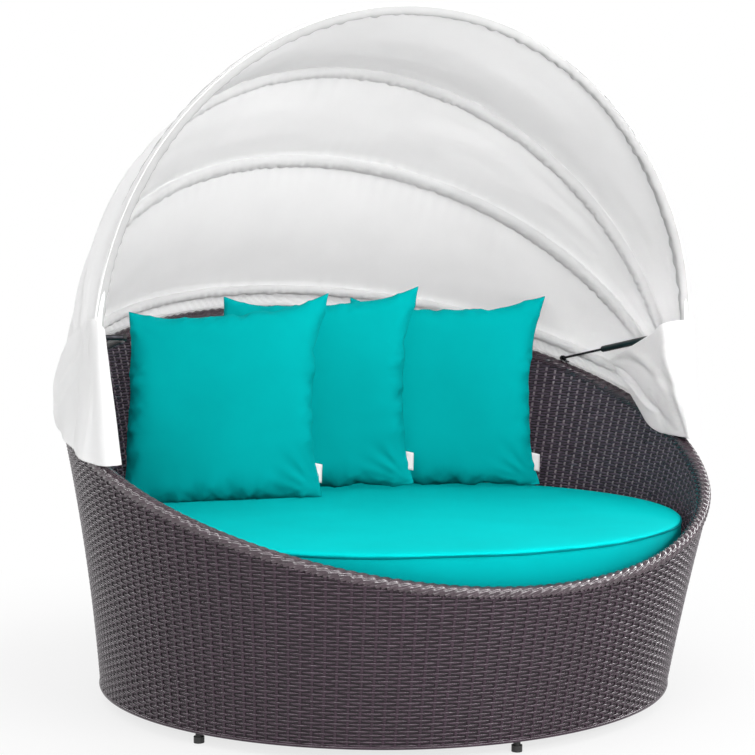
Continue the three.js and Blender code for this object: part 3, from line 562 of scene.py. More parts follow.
def make_materials():
    for key, name, dark, light, smooth, rough, specular in (
        ("wicker", "wicker_outside", (41, 24, 36), (61, 43, 56), 0.21, 0.3, 0.42),
        # the inner face: a lighter copy of the same wicker, painted light on the shaded inside of the wall
        ("wicker_inside", "wicker_inside", (63, 52, 64), (97, 84, 98), 0.2, 0.28, 0.7),
        # the inner stakes: a lighter copy of the wicker, painted highlight where they catch the light
        ("wicker_stake_painted_highlight", "wicker_stake_painted_highlight", (104, 92, 100), (140, 128, 136), 0.2, 0.3, 0.7),
        ("wicker_wrap", "wicker_wrap", (46, 31, 39), (76, 60, 69), 0.14, 0.24, 0.8),
    ):
        MATERIALS[key] = wicker_material(name, dark, light, smooth, rough, specular)
    for name, dark, light, through in (
        ("canopy_cloth", 245, 252, 0.75),
        # darker copies of the canopy cloth for the first two sleeves: painted shade
        ("front_sleeve_shade_cloth", 190, 200, 0.4),
        ("second_sleeve_shade_cloth", 230, 238, 0.5),
        ("flap_cloth", 246, 252, 0.9),
    ):
        MATERIALS[name] = cloth_material(name, (dark,) * 3, (light,) * 3, 1500, through=through)
    for name, dark, light in (
        ("seat_cloth", (0, 200, 201), (0, 208, 209)),
        # the seat's side: a darker copy of the seat cloth, painted shade where the side turns away from the
        # light
        ("seat_side_shade_cloth", (0, 161, 164), (0, 169, 172)),
        ("pillow_cloth", (0, 172, 174), (0, 180, 182)),
    ):
        MATERIALS[name] = cloth_material(name, dark, light, 1300)
    # the piping's dark teal: painted shade of the groove along the seat's seam
    MATERIALS["piping"] = cloth_material("piping_shade_teal", (0, 112, 118), (0, 128, 134), 1300, 0.2)
    MATERIALS["tag"] = cloth_material("tag_satin", (238,) * 3, (248,) * 3, 2400, 0.1, 0.5, 0.4)
    for key, name, dark, light, smooth, rough, metallic, grain in (
        # near-black sheets behind the weave and under the rim's wrap: painted shade in their gaps
        ("wicker_shade_sheet", "wicker_gap_shade_sheet", (8, 6, 8), (14, 11, 13), 0.7, 0.9, 0.0, 120),
        ("deck", "deck_board", (44, 43, 44), (58, 56, 57), 0.6, 0.8, 0.0, 40),
        ("frame_metal", "frame_tube", (40, 40, 43), (56, 56, 60), 0.38, 0.55, 0.7, 60),
        ("steel", "dark_steel", (34, 34, 37), (58, 58, 62), 0.25, 0.42, 1.0, 80),
        ("black_plastic", "black_plastic", (18, 18, 18), (30, 30, 30), 0.45, 0.6, 0.0, 150),
        ("black_paint", "black_paint", (10, 10, 11), (20, 20, 21), 0.3, 0.45, 0.2, 90),
    ):
        MATERIALS[key] = hard_material(name, dark, light, smooth, rough, metallic, grain)


def dress(piece, key):
    piece.data.materials.clear()
    piece.data.materials.append(MATERIALS[key])
    return piece


def dress_cad():
    slots = {row["node"]: row["material_slot"] for row in frame["record"]["subparts"]}
    for name, piece in frame["nodes"].items():
        dress(piece, slots[name])
        for polygon in piece.data.polygons:
            polygon.use_smooth = False


# Mesh tools

def mesh_piece(name, points, faces, key, slot=None, kinds=None, more_keys=()):
    """A mesh of points and four-cornered faces. The kinds number their materials: key, then more_keys."""
    points = np.asarray(points, np.float32).reshape(-1, 3)
    faces = np.asarray(faces, np.int32)
    count, corners = faces.shape
    mesh = bpy.data.meshes.new(name)
    mesh.vertices.add(len(points))
    mesh.vertices.foreach_set("co", points.ravel())
    mesh.loops.add(count * corners)
    mesh.loops.foreach_set("vertex_index", faces.ravel())
    mesh.polygons.add(count)
    mesh.polygons.foreach_set("loop_start", np.arange(0, count * corners, corners, dtype=np.int32))
    mesh.polygons.foreach_set("use_smooth", np.full(count, True))
    mesh.update(calc_edges=True)
    mesh.validate()
    piece = bpy.data.objects.new(name, mesh)
    bpy.context.scene.collection.objects.link(piece)
    dress(piece, key)
    for more in more_keys:
        mesh.materials.append(MATERIALS[more])
    if kinds is not None:
        mesh.polygons.foreach_set("material_index", np.asarray(kinds, np.int32))
    return piece


def grid_faces(rows, columns, ring=False):
    """Faces of a grid of points, row by row. A ring joins the last column to the first."""
    spans = columns if ring else columns - 1
    i, j = np.meshgrid(np.arange(rows - 1), np.arange(spans), indexing="ij")
    k = (j + 1) % columns
    here, there = i * columns, (i + 1) * columns
    return np.stack([here + j, here + k, there + k, there + j], -1).reshape(-1, 4)


def unit(vectors):
    return vectors / np.maximum(np.linalg.norm(vectors, axis=-1, keepdims=True), 1e-12)


def grid_normals(grid):
    return unit(np.cross(np.gradient(grid, axis=1), np.gradient(grid, axis=0)))


def grid_shares(rows, columns):
    """Shares from 0 to 1 down a grid's rows and along its columns."""
    return np.linspace(0, 1, rows)[:, None], np.linspace(0, 1, columns)[None]


def shell_faces(rows, columns):
    """Faces of a closed sheet: a front grid, a back grid, and the rim between them."""
    front = grid_faces(rows, columns)
    back = front[:, ::-1] + rows * columns
    border = np.concatenate([
        np.arange(columns),
        np.arange(1, rows) * columns + columns - 1,
        (rows - 1) * columns + np.arange(columns - 2, -1, -1),
        np.arange(rows - 2, 0, -1) * columns,
    ])
    follow = np.roll(border, -1)
    rim = np.stack([follow, border, border + rows * columns, follow + rows * columns], -1)
    return np.concatenate([front, back, rim])


def cloth_piece(name, grid, key="canopy_cloth", slot="canopy_cloth", thickness=CLOTH_THICKNESS):
    """A closed thin sheet about a grid of points on its middle surface."""
    normal = grid_normals(grid) * thickness / 2
    points = np.concatenate([(grid + normal).reshape(-1, 3), (grid - normal).reshape(-1, 3)])
    return mesh_piece(name, points, shell_faces(*grid.shape[:2]), key, slot)


def sweep_piece(name, path, radius, key, slot, body, sides=8, ring=False):
    """A round tube along a path of points, which rides on a body."""
    if ring:
        tangent = unit(np.roll(path, -1, 0) - np.roll(path, 1, 0))
    else:
        tangent = unit(np.gradient(path, axis=0))
    up = np.where(np.abs(tangent[:, 2:3]) < 0.9, np.array([[0, 0, 1.0]]), np.array([[0, 1.0, 0]]))
    side = unit(np.cross(tangent, up))
    other = np.cross(side, tangent)
    turn = (2 * np.pi * np.arange(sides) / sides)[:, None, None]
    points = path[None] + radius * (np.cos(turn) * side[None] + np.sin(turn) * other[None])
    # the last side joins the first
    columns = len(path)
    j = np.arange(columns if ring else columns - 1)
    k = (j + 1) % columns
    last = (sides - 1) * columns
    closing = np.stack([last + j, last + k, k, j], -1)
    piece = mesh_piece(name, points, np.concatenate([grid_faces(sides, columns, ring), closing]), key, slot)
    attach(piece, body)
    return piece


def wave_noise(x, y, seed, count=12, low=1.0, high=6.0):
    """A smooth random field of about -1 to 1, from a sum of waves."""
    local = np.random.default_rng(seed)
    total = np.zeros(np.broadcast(x, y).shape)
    for _ in range(count):
        frequency = local.uniform(low, high)
        direction = local.uniform(0, 2 * np.pi)
        phase = local.uniform(0, 2 * np.pi)
        total = total + np.sin(frequency * (x * np.cos(direction) + y * np.sin(direction)) + phase)
    return total / math.sqrt(count)


# The wall

def wall_radius(z):
    h = z - BASE_LIFT
    return BASE_RADIUS + FLARE_SHARE * h + FLARE_BOW_SHARE * h * h / RIM_BACK


def wall_centre(z):
    h = z - BASE_LIFT
    return -(LEAN_SHARE * h - LEAN_BOW_SHARE * h * h / RIM_BACK)


def wall_point(angle, z, inset):
    """A point of the wall: the angle runs from the front to the right, the inset is from the outer face."""
    radius = wall_radius(z) - inset
    y = wall_centre(z) - radius * np.cos(angle)
    return np.stack(np.broadcast_arrays(radius * np.sin(angle), y, z), -1)


def rim_top(angle):
    mean = (RIM_FRONT + RIM_BACK) / 2
    level = (mean + RIM_SIDE) / 2
    dip = (mean - RIM_SIDE) / 2
    tilt = (RIM_FRONT - RIM_BACK) / 2 + RIM_SHOULDER
    return level + tilt * np.cos(angle) + dip * np.cos(2 * angle) - RIM_SHOULDER * np.cos(3 * angle)


def strand_strips(index, from_height, inset, direction, seed):
    """The strands of a sector, row by row, each where the wall is high enough for it."""
    local = np.random.default_rng(seed)
    angle = index * STAKE_STEP
    limit = rim_top(angle) - BORDER_DROP * WEAVE_END_SHARE
    wave = np.array(STRAND_WAVE_SHARES)
    strips = []
    for row, z in enumerate(np.arange(from_height + ROW_PITCH / 2, float(limit.max()), ROW_PITCH)):
        use = limit > z
        edges = np.flatnonzero(np.diff(np.concatenate([[0], use.astype(int), [0]])))
        for begin, end in zip(edges[::2], edges[1::2]):
            if end - begin < 2:
                continue
            a = angle[begin:end]
            phase = wave[(index[begin:end] + STAKE_SAMPLES * row) % len(wave)]
            rough = STRAND_INSET_NOISE * local.standard_normal(len(a))
            middle = inset + direction * (WEAVE_SWING * (STRAND_SWING_SHARE - phase) + rough)
            half = ROW_PITCH * (STRAND_HALF_SHARE + STRAND_SWELL_SHARE * phase)
            level = z + STRAND_LEVEL_NOISE * local.standard_normal(len(a))
            strips.append(np.stack([
                wall_point(a, level + across * half, middle + direction * STRAND_SINK * across * across)
                for across in STRAND_PROFILE_SHARES
            ]))
    return strips


def stake_strips(stakes, from_height, inset, direction):
    """The stakes of a sector, each before the strand at every other row."""
    strips = []
    for stake in stakes:
        a = stake * STAKE_SAMPLES * STAKE_STEP
        level = np.arange(from_height, float(rim_top(a)) - BORDER_DROP * WEAVE_END_SHARE, ROW_PITCH / 2)
        half_rows = np.arange(len(level))
        before = np.where((half_rows // 2 + stake) % 2 == 0, -1.0, 1.0)
        phase = np.where(half_rows % 2 == 0, 0.0, before)
        middle = inset + direction * (WEAVE_SWING * (1.0 - phase) + STAKE_INSET)
        strip = []
        for across in STAKE_PROFILE_SHARES:
            turn = a + across * STAKE_HALF_WIDTH / BASE_RADIUS
            strip.append(wall_point(turn, level, middle + direction * STAKE_SINK * across * across))
        strips.append(np.stack(strip))
    return strips


def weave_backing(angle, from_height, inset, direction):
    """A near-black layer behind the strands that closes the gaps: painted shade in the weave's gaps."""
    share = np.linspace(0, 1, BACKING_ROWS)[:, None]
    top = rim_top(angle) - BORDER_DROP * BACKING_END_SHARE
    z = from_height + (top - from_height)[None] * share
    return wall_point(np.broadcast_to(angle, z.shape), z, inset + direction * WEAVE_DEPTH)


def weave_piece(name, first, last, from_height, inset, outward, seed):
    """One sector of woven wicker: strands that pass before and behind upright stakes in turn."""
    direction = 1 if outward else -1
    index = np.arange(first, last + 1)
    strands = strand_strips(index, from_height, inset, direction, seed)
    stakes = stake_strips(range(first // STAKE_SAMPLES, last // STAKE_SAMPLES), from_height, inset, direction)
    backing = weave_backing(index[::STAKE_SAMPLES] * STAKE_STEP, from_height, inset, direction)
    points, faces, kinds, start = [], [], [], 0
    for kind, strips in ((0, strands), (2, stakes), (1, [backing])):
        for strip in strips:
            these = grid_faces(*strip.shape[:2])
            faces.append((these if outward else these[:, ::-1]) + start)
            points.append(strip.reshape(-1, 3))
            kinds.append(np.full(len(these), kind))
            start += len(points[-1])
    # the inner face takes the lighter copy of the wicker: painted light
    key = "wicker" if outward else "wicker_inside"
    # outside the stakes take the strands' wicker; inside they take the lighter copy that paints their
    # highlights
    more_keys = ("wicker_shade_sheet", "wicker" if outward else "wicker_stake_painted_highlight")
    arrays = np.concatenate(points), np.concatenate(faces)
    piece = mesh_piece(name, *arrays, key, key, np.concatenate(kinds), more_keys)
    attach(piece, "frame")
    return piece


def add_weave():
    total = STAKES * STAKE_SAMPLES
    for name, sectors, from_height, inset, outward, seed in (
        ("outer_weave", OUTER_SECTORS, BASE_LIFT + WEAVE_START, 0.0, True, 11),
        ("inner_weave", INNER_SECTORS, DECK_TOP - WEAVE_BELOW_DECK, WALL_THICKNESS, False, 31),
    ):
        for sector in range(sectors):
            ends = total * sector // sectors, total * (sector + 1) // sectors
            piece = weave_piece(f"{name}_{sector + 1}", *ends, from_height, inset, outward, seed + sector)
            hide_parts(name)


def add_base_border():
    angle = np.linspace(0, 2 * np.pi, 361)[:-1]
    border = wall_point(angle, np.full(len(angle), BASE_LIFT + BASE_BORDER_LIFT), BASE_BORDER_INSET)
    sweep_piece("base_border", border, BASE_BORDER_RADIUS, "wicker", "wicker", "frame", ring=True)


def wrap_surface(angle, s, radius):
    """A point of the wrapping: s runs over the rim from the lower edge outside to the lower edge inside."""
    straight = BORDER_DROP - WRAP_OUTER_RADIUS
    arc = np.pi * WRAP_OUTER_RADIUS
    at = s * (2 * straight + arc)
    turn = np.clip((at - straight) / WRAP_OUTER_RADIUS, 0, np.pi)
    below = np.where(at < straight, straight - at, np.where(at > straight + arc, at - straight - arc, 0))
    z = rim_top(angle) - WRAP_OUTER_RADIUS + radius * np.sin(turn) - below
    return wall_point(angle, z, WALL_THICKNESS / 2 - radius * np.cos(turn))


def add_rim_wrap():
    """Strands wound over the rim at a slant, which pass over and under their neighbours in turn."""
    k = np.arange(WRAP_STRANDS)[:, None]
    t = np.linspace(0, 1, WRAP_SAMPLES)[None]
    angle = 2 * np.pi * k / WRAP_STRANDS + WRAP_SLANT * t
    s = np.broadcast_to(t, angle.shape)
    swing = WRAP_SWING * np.cos(2 * np.pi * WRAP_SWINGS * t + np.pi * (k % 2))
    radius = WRAP_OUTER_RADIUS - WRAP_INSET + swing
    centre = wrap_surface(angle, s, radius)
    step = 1e-4
    turn = WRAP_SLANT * step
    ahead, behind = wrap_surface(angle + turn, s + step, radius), wrap_surface(angle - turn, s - step, radius)
    tangent = unit(ahead - behind)
    along = wrap_surface(angle + step, s, radius) - wrap_surface(angle - step, s, radius)
    across = wrap_surface(angle, s + step, radius) - wrap_surface(angle, s - step, radius)
    normal = unit(np.cross(along, across))
    width = unit(np.cross(normal, tangent))
    inner = wrap_surface(angle, s, radius - WRAP_INSET)
    normal = normal * np.sign((normal * (centre - inner)).sum(-1, keepdims=True))
    grid = np.stack([
        centre + width * side * WRAP_HALF_WIDTH - normal * WRAP_SINK * side * side
        for side in WRAP_PROFILE_SHARES
    ], 1)
    profile = len(WRAP_PROFILE_SHARES)
    size = profile * WRAP_SAMPLES
    strand_starts = (np.arange(WRAP_STRANDS) * size)[:, None, None]
    strands = (grid_faces(profile, WRAP_SAMPLES)[None] + strand_starts).reshape(-1, 4)
    # a near-black layer under the strands: painted shade in their gaps
    back_angle, back_s = np.meshgrid(
        np.linspace(0, 2 * np.pi, WRAP_BACKING_COLUMNS + 1)[:-1],
        np.linspace(WRAP_BACKING_EDGE_SHARE, 1 - WRAP_BACKING_EDGE_SHARE, WRAP_BACKING_ROWS),
    )
    back = wrap_surface(back_angle, back_s, WRAP_OUTER_RADIUS - WRAP_BACKING_INSET)
    back_faces = grid_faces(WRAP_BACKING_ROWS, WRAP_BACKING_COLUMNS, ring=True) + WRAP_STRANDS * size
    points = np.concatenate([grid.reshape(-1, 3), back.reshape(-1, 3)])
    faces = np.concatenate([strands, back_faces])
    kinds = np.arange(len(faces)) >= len(strands)
    piece = mesh_piece("rim_wrap_strands", points, faces, "wicker_wrap", "wicker", kinds, ("wicker_shade_sheet",))
    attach(piece, "frame")
    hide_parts("rim_wrap")


# The canopy

def place_in_hoop(index, x, reach, forward_by):
    """A point by its reach from the pivots' axis in a hoop's plane, and how far before that plane it is."""
    a = math.radians(HOOP_ANGLES[index])
    y = PIVOT_Y + reach * math.cos(a) - forward_by * math.sin(a)
    z = PIVOT_Z + reach * math.sin(a) + forward_by * math.cos(a)
    return np.stack(np.broadcast_arrays(x, y, z), -1)


def hoop_reach(index, arch_steps, leg_steps, start):
    """Distance from the pivots' axis of each point of hoop_line."""
    legs = np.linspace(start, LEG_LENGTH, leg_steps, endpoint=False)
    arch = LEG_LENGTH + HOOP_RISES[index] * np.sin(np.linspace(0, np.pi, arch_steps + 1))
    return np.concatenate([legs, arch, legs[::-1]])


def hoop_line(index, out_by, forward_by, arch_steps=120, leg_steps=8, start=PANEL_START):
    """Points along a hoop from its right leg over the arch to its left leg, offset outwards and forwards."""
    turn = np.linspace(0, np.pi, arch_steps + 1)
    leg = np.ones(leg_steps)
    nx, nr = np.cos(turn) / HOOP_HALF_WIDTH, np.sin(turn) / HOOP_RISES[index]
    length = np.hypot(nx, nr)
    x = HOOP_HALF_WIDTH * np.concatenate([leg, np.cos(turn), -leg])
    out_x = np.concatenate([leg, nx / length, -leg])
    out_reach = np.concatenate([0 * leg, nr / length, 0 * leg])
    reach = hoop_reach(index, arch_steps, leg_steps, start)
    return place_in_hoop(index, x + out_x * out_by, reach + out_reach * out_by, forward_by)


def hinge_weights(piece):
    """Reads the panel's points; nothing is done with them."""
    points = np.zeros(len(piece.data.vertices) * 3, np.float32)
    piece.data.vertices.foreach_get("co", points)
    points = points.reshape(-1, 3)


def panel_line(index, out_by, forward_by):
    return hoop_line(index, out_by, forward_by, PANEL_ARCH_STEPS, PANEL_LEG_STEPS)


def panel_puckers(rows, columns, seed):
    """Short puckers that the seams along the hoops pull into the cloth beside them."""
    s, u = grid_shares(rows, columns)
    total = np.zeros((rows, columns))
    for edge, number in ((s, 0), (1 - s, 1)):
        reach = 0.10 + 0.05 * wave_noise(u * 40, u * 0, seed + 7 * number, 8, 0.6, 2.0)
        wave = wave_noise(u * 230, u * 0, seed + 5 + number, 14, 0.6, 2.2)
        total = total + PANEL_PUCKER * wave * (edge / 0.02 * np.exp(-edge / reach * 2.5)).clip(0, 1)
    return total


def panel_grid(index, overhang):
    """The cloth between two hoops: it hangs hollow, fills out beside the legs and puckers at its seams."""
    front = panel_line(index, CLOTH_CLEARANCE, -PANEL_GAP)
    rear = panel_line(index + 1, CLOTH_CLEARANCE, PANEL_GAP)
    share = np.linspace(0, 1, PANEL_ROWS)[:, None, None]
    grid = front[None] * (1 - share) + rear[None] * share
    span = np.linalg.norm(front - rear, axis=1)[None]
    inward = unit(np.stack([np.zeros(grid.shape[:2]), PIVOT_Y - grid[..., 1], PIVOT_Z - grid[..., 2]], -1))
    s = share[..., 0]
    hollow = (4 * s * (1 - s)) ** 1.4
    grid = grid + inward * (span * CLOTH_SAG_SHARE * hollow)[..., None]
    columns = grid.shape[1]
    u = np.linspace(-1, 1, columns)[None]
    low = np.clip((np.abs(u) - PANEL_SWELL_SHARE) / (1 - PANEL_SWELL_SHARE), 0, 1) ** 1.5
    # soft folds beside the legs run with the hoops
    folds = np.sin(2 * np.pi * (2.2 * s + 0.35 * np.abs(u))) * PANEL_FOLD * low
    room = np.clip(span / PANEL_FULL_SPAN, 0.15, 1)
    grid[..., 0] += np.sign(-u) * (PANEL_SWELL * low * hollow + folds * hollow ** 0.5) * room
    rumple = wave_noise(u * 9, s * 5, 50 + index, 14, 1.0, 5.0) * PANEL_RUMPLE * hollow ** 0.5
    grid += grid_normals(grid) * (rumple + panel_puckers(PANEL_ROWS, columns, 130 + index))[..., None]
    if overhang:
        hem = panel_line(index, CLOTH_CLEARANCE, overhang)
        curl = panel_line(index, CLOTH_CLEARANCE - FRONT_CURL, overhang / 2)
        grid = np.concatenate([hem[None], curl[None], grid])
    return grid


def narrowing(index, arch_steps, leg_steps):
    """Share of its full width that a sleeve has along a hoop, less where the hoops come together."""
    reach = hoop_reach(index, arch_steps, leg_steps, SLEEVE_START)
    return np.clip(reach / SLEEVE_FULL_REACH, SLEEVE_LEAST_SHARE, 1)


def sleeve_grid(index, front_width, rear_width, seed):
    """A pocket of cloth round a hoop, sewn to the canopy along both edges, seen from inside."""
    steps = SLEEVE_ARCH_STEPS, SLEEVE_LEG_STEPS
    narrow = narrowing(index, *steps)
    along = np.linspace(0, 1, len(narrow))
    ragged = wave_noise(along * 300, along * 0, seed, 14, 0.8, 2.2)
    ragged = 0.16 * np.abs(ragged) ** 0.7 * np.sign(ragged) + 0.10
    pull = np.clip(wave_noise(along * 380, along * 0, seed + 3, 16, 0.8, 2.2), -1.6, 1.1)
    rows = []
    for u in np.linspace(-1, 1, SLEEVE_ROWS):
        width = front_width if u > 0 else rear_width
        forward = width * math.copysign(abs(math.sin(u * math.pi / 2)) ** 0.9, u)
        forward = forward * (1 + ragged * (0.15 if u > 0 else 1.0)) * narrow
        shape = math.cos(u * math.pi / 2) ** 0.75
        # puckers run across the pocket from its rear seam and fade before the front one
        fade = math.sin(math.pi * min(1.0, (1 - u) / 2)) ** 0.7 * (1.0 if u < 0.1 else 0.45)
        out = CLOTH_CLEARANCE - SLEEVE_INSET - SLEEVE_DEPTH * shape + SLEEVE_PUCKER * pull * fade
        rows.append(hoop_line(index, out, forward, *steps, SLEEVE_START))
    return np.stack(rows)


def add_panels():
    for index, name in enumerate(PANEL_NODES):
        grid = panel_grid(index, FRONT_OVERHANG if index == 0 else 0)
        piece = cloth_piece(f"{name}_cloth", grid)
        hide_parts(name)
        start = place_in_hoop(index, 0.0, BLEND_REACH, 0.0)
        end = place_in_hoop(index + 1, 0.0, BLEND_REACH, 0.0)
        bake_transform(piece)
        hinge_weights(piece)


def add_sleeves():
    """Round each hoop a ragged sleeve, the lining that closes it and the seam in front of it."""
    for index, (front_width, rear_width) in enumerate(SLEEVE_WIDTHS):
        body = BODIES_OF_HOOPS[index]
        grid = sleeve_grid(index, front_width, rear_width, 70 + index)
        cloth = SLEEVE_CLOTHS[index]
        piece = cloth_piece(f"canopy_sleeve_{index + 1}", grid, cloth, thickness=SLEEVE_THICKNESS)
        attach(piece, body)
        pocket = hoop_line(index, 0.0, 0.0, 240, 4, SLEEVE_START)
        name = f"canopy_pocket_{index + 1}"
        sweep_piece(name, pocket, POCKET_RADIUS, "canopy_cloth", "canopy_cloth", body, sides=18)
        forward = (front_width + SEAM_GAP) * narrowing(index, 320, 4)
        seam = hoop_line(index, CLOTH_CLEARANCE - SEAM_INSET, forward, 320, 4, SLEEVE_START)
        sweep_piece(f"canopy_seam_{index + 1}", seam, SEAM_RADIUS, "canopy_cloth", "canopy_cloth", body)


def smooth_line(points, count):
    """Points evenly along a smooth curve through the given ones (a Catmull-Rom spline)."""
    points = np.asarray(points, float)
    p = np.concatenate([2 * points[:1] - points[1:2], points, 2 * points[-1:] - points[-2:-1]])
    t = np.concatenate([[0], np.cumsum(np.sqrt(np.linalg.norm(np.diff(p, axis=0), axis=1)))])

    def at(fine, i, j, first, second):
        return ((t[j] - fine) * first + (fine - t[i]) * second) / (t[j] - t[i])

    out = []
    for i in range(1, len(p) - 2):
        fine = np.linspace(t[i], t[i + 1], 40, endpoint=False)[:, None]
        a = [at(fine, k, k + 1, p[k], p[k + 1]) for k in (i - 1, i, i + 1)]
        b = [at(fine, i - 1, i + 1, a[0], a[1]), at(fine, i, i + 2, a[1], a[2])]
        out.append(at(fine, i, i + 1, *b))
    return resample(np.concatenate([*out, points[-1:]]), count)


def resample(line, count):
    length = np.concatenate([[0], np.cumsum(np.linalg.norm(np.diff(line, axis=0), axis=1))])
    even = np.linspace(0, length[-1], count)
    return np.stack([np.interp(even, length, line[:, k]) for k in range(3)], -1)


def rim_line(angle, inset, lift):
    """A line along the rim's top, set in from the wall's outer face and raised."""
    line = wall_point(angle, rim_top(angle), inset)
    line[:, 2] += lift
    return line


def skirt_grid():
    """Gathered cloth from the rear hoop over the rim to a hem that rises at both ends, under the flaps."""
    s, t = grid_shares(SKIRT_ROWS, SKIRT_COLUMNS)
    share = t[0]
    angle = SKIRT_START + (2 * np.pi - 2 * SKIRT_START) * share
    end_distance = np.minimum(share, 1 - share)
    high = resample(hoop_line(3, CLOTH_CLEARANCE, -PANEL_GAP), SKIRT_COLUMNS)
    over = rim_line(angle, -SKIRT_OUTSET, -SKIRT_RIM_DIP)
    middle = (high + over) / 2
    middle[:, 2] += SKIRT_BULGE * np.clip(end_distance / SKIRT_BULGE_END_SHARE, 0.3, 1)
    wave = SKIRT_HEM_WAVE * (1 - np.cos(2 * np.pi * SKIRT_HEM_WAVES * share))
    ends = np.clip(end_distance / SKIRT_HEM_END_SHARE, 0, 1)
    least = SKIRT_RIM_DIP + SKIRT_LEAST_DROP
    drop = least + (SKIRT_DROP - least) * (3 * ends ** 2 - 2 * ends ** 3)
    hem = rim_line(angle, -SKIRT_OUTSET - wave, -drop)
    lines = [smooth_line([high[j], middle[j], over[j], hem[j]], SKIRT_ROWS) for j in range(SKIRT_COLUMNS)]
    grid = np.stack(lines, 1)
    gathers = np.sin(t * 330 + 16 * s + 2.2 * wave_noise(t * 26, s * 2, 5, 8, 0.8, 2.0))
    sharp = (1 - np.abs(gathers)) ** 1.3 - 0.4
    fold = sharp * SKIRT_GATHER * np.sin(np.pi * np.clip(s / 0.75, 0, 1)) ** 0.8
    fold = fold + wave_noise(t * 120, s * 4, 8, 10, 0.6, 1.6) * SKIRT_RUMPLE * np.sin(np.pi * s)
    normal = grid_normals(grid)
    normal *= np.sign(normal[..., 2:3] + 1e-9)
    room = np.clip(np.minimum(s, 1 - s) * 12, 0, 1)
    return grid + normal * (fold * room)[..., None], angle


def add_rear_skirt():
    grid, angle = skirt_grid()
    piece = cloth_piece("rear_skirt_cloth", grid, "flap_cloth")
    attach(piece, "frame")
    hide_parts("rear_skirt")
    edge = wall_point(angle, rim_top(angle) + SKIRT_PIPING_LIFT, WALL_THICKNESS * SKIRT_PIPING_INSET_SHARE)
    sweep_piece("rear_skirt_piping", edge[6:-6], SKIRT_PIPING_RADIUS, "flap_cloth", "canopy_cloth", "frame")


def flap_edge(side, points):
    """A flap's edge through points given outwards, back and up from the front hoop and the pivot."""
    places = []
    for out, back, up in points:
        lift = max(0.0, min(1.0, (math.hypot(back, up) - LEG_LENGTH) / HOOP_RISES[0]))
        x = HOOP_HALF_WIDTH * math.sqrt(1 - lift * lift) + out
        places.append((side * x, PIVOT_Y + back, PIVOT_Z + up))
    return smooth_line(places, FLAP_COLUMNS)


def crease_field(t, s, creases):
    """Depth of a set of creases, each a soft ridge about a line from one point to another."""
    total = np.zeros(np.broadcast(t, s).shape)
    for t0, s0, t1, s1, depth, width in creases:
        dt, ds = t1 - t0, s1 - s0
        share = np.clip(((t - t0) * dt + (s - s0) * ds) / (dt ** 2 + ds ** 2), 0, 1)
        off = np.hypot(t - t0 - share * dt, s - s0 - share * ds)
        total = total + depth * np.exp(-(off / width) ** 2) * np.sin(np.pi * (0.15 + 0.7 * share))
    return total


def add_flap(name, side, top_points, hem_points, creases, seed):
    """Cloth folded round the front hoop's leg over the pivot, with a tail that reaches back."""
    top, hem = flap_edge(side, top_points), flap_edge(side, hem_points)
    s, t = grid_shares(FLAP_ROWS, FLAP_COLUMNS)
    grid = top[None] * (1 - s[..., None]) + hem[None] * s[..., None]
    tail = np.clip((t - FLAP_TAIL_SHARE) / 0.3, 0, 1)
    grid[..., 0] += side * FLAP_TAIL_BOW * np.sin(np.pi * s) * tail
    hang = np.sin(2 * np.pi * (t * 3.4 + 0.25 * s) + seed) * FLAP_HANG * s ** 0.7
    fade = np.sin(np.pi * np.clip(s * 0.8 + 0.1, 0, 1))
    drape = wave_noise(t * 9, s * 4, seed, 12, 1.0, 3.0) * FLAP_DRAPE * fade
    folds = (hang + drape) * (1 - 0.7 * tail) + crease_field(t, s, creases)
    grid = grid + grid_normals(grid) * folds[..., None]
    piece = cloth_piece(f"{name}_cloth", grid, "flap_cloth")
    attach(piece, "frame")
    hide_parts(name)
    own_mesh(piece)


# The seat

def subdivide(piece):
    bpy.context.view_layer.objects.active = piece
    modifier = piece.modifiers.new("smooth", "SUBSURF")
    modifier.levels = 1
    modifier.render_levels = 1
    bpy.ops.object.select_all(action="DESELECT")
    piece.select_set(True)
    bpy.ops.object.modifier_apply(modifier=modifier.name)


def seat_top(x, y):
    """Height of the seat's surface."""
    radius = np.hypot(x, np.asarray(y) - SEAT_CENTRE_Y)
    inner = SEAT_RADIUS - SEAT_CROWN_WIDTH
    crown_radius = [0.0, SEAT_RADIUS / 2, inner, SEAT_RADIUS - SEAT_CROWN_WIDTH / 4, SEAT_RADIUS]
    crown_height = [SEAT_CROWN, SEAT_CROWN, SEAT_CROWN * 0.9, SEAT_CROWN * 0.55, 0.0]
    return SEAT_SEAM + np.interp(radius, crown_radius, crown_height)


def seat_rings():
    """Radius and height of each ring of the seat's surface."""
    rings = [(SEAT_BOTTOM_RADIUS * share, DECK_TOP + SEAT_GAP) for share in SEAT_UNDERSIDE_SHARES]
    rings += [(SEAT_LOWER_RADIUS + out, DECK_TOP + up) for out, up in SEAT_SIDE]
    rings += [(SEAT_RADIUS - inward, SEAT_SEAM + up) for inward, up in SEAT_EDGE]
    return rings + [(SEAT_RADIUS * share, SEAT_SEAM + up) for share, up in SEAT_TOP]


def seat_circle(angle, radius):
    return radius * np.sin(angle), SEAT_CENTRE_Y - radius * np.cos(angle)


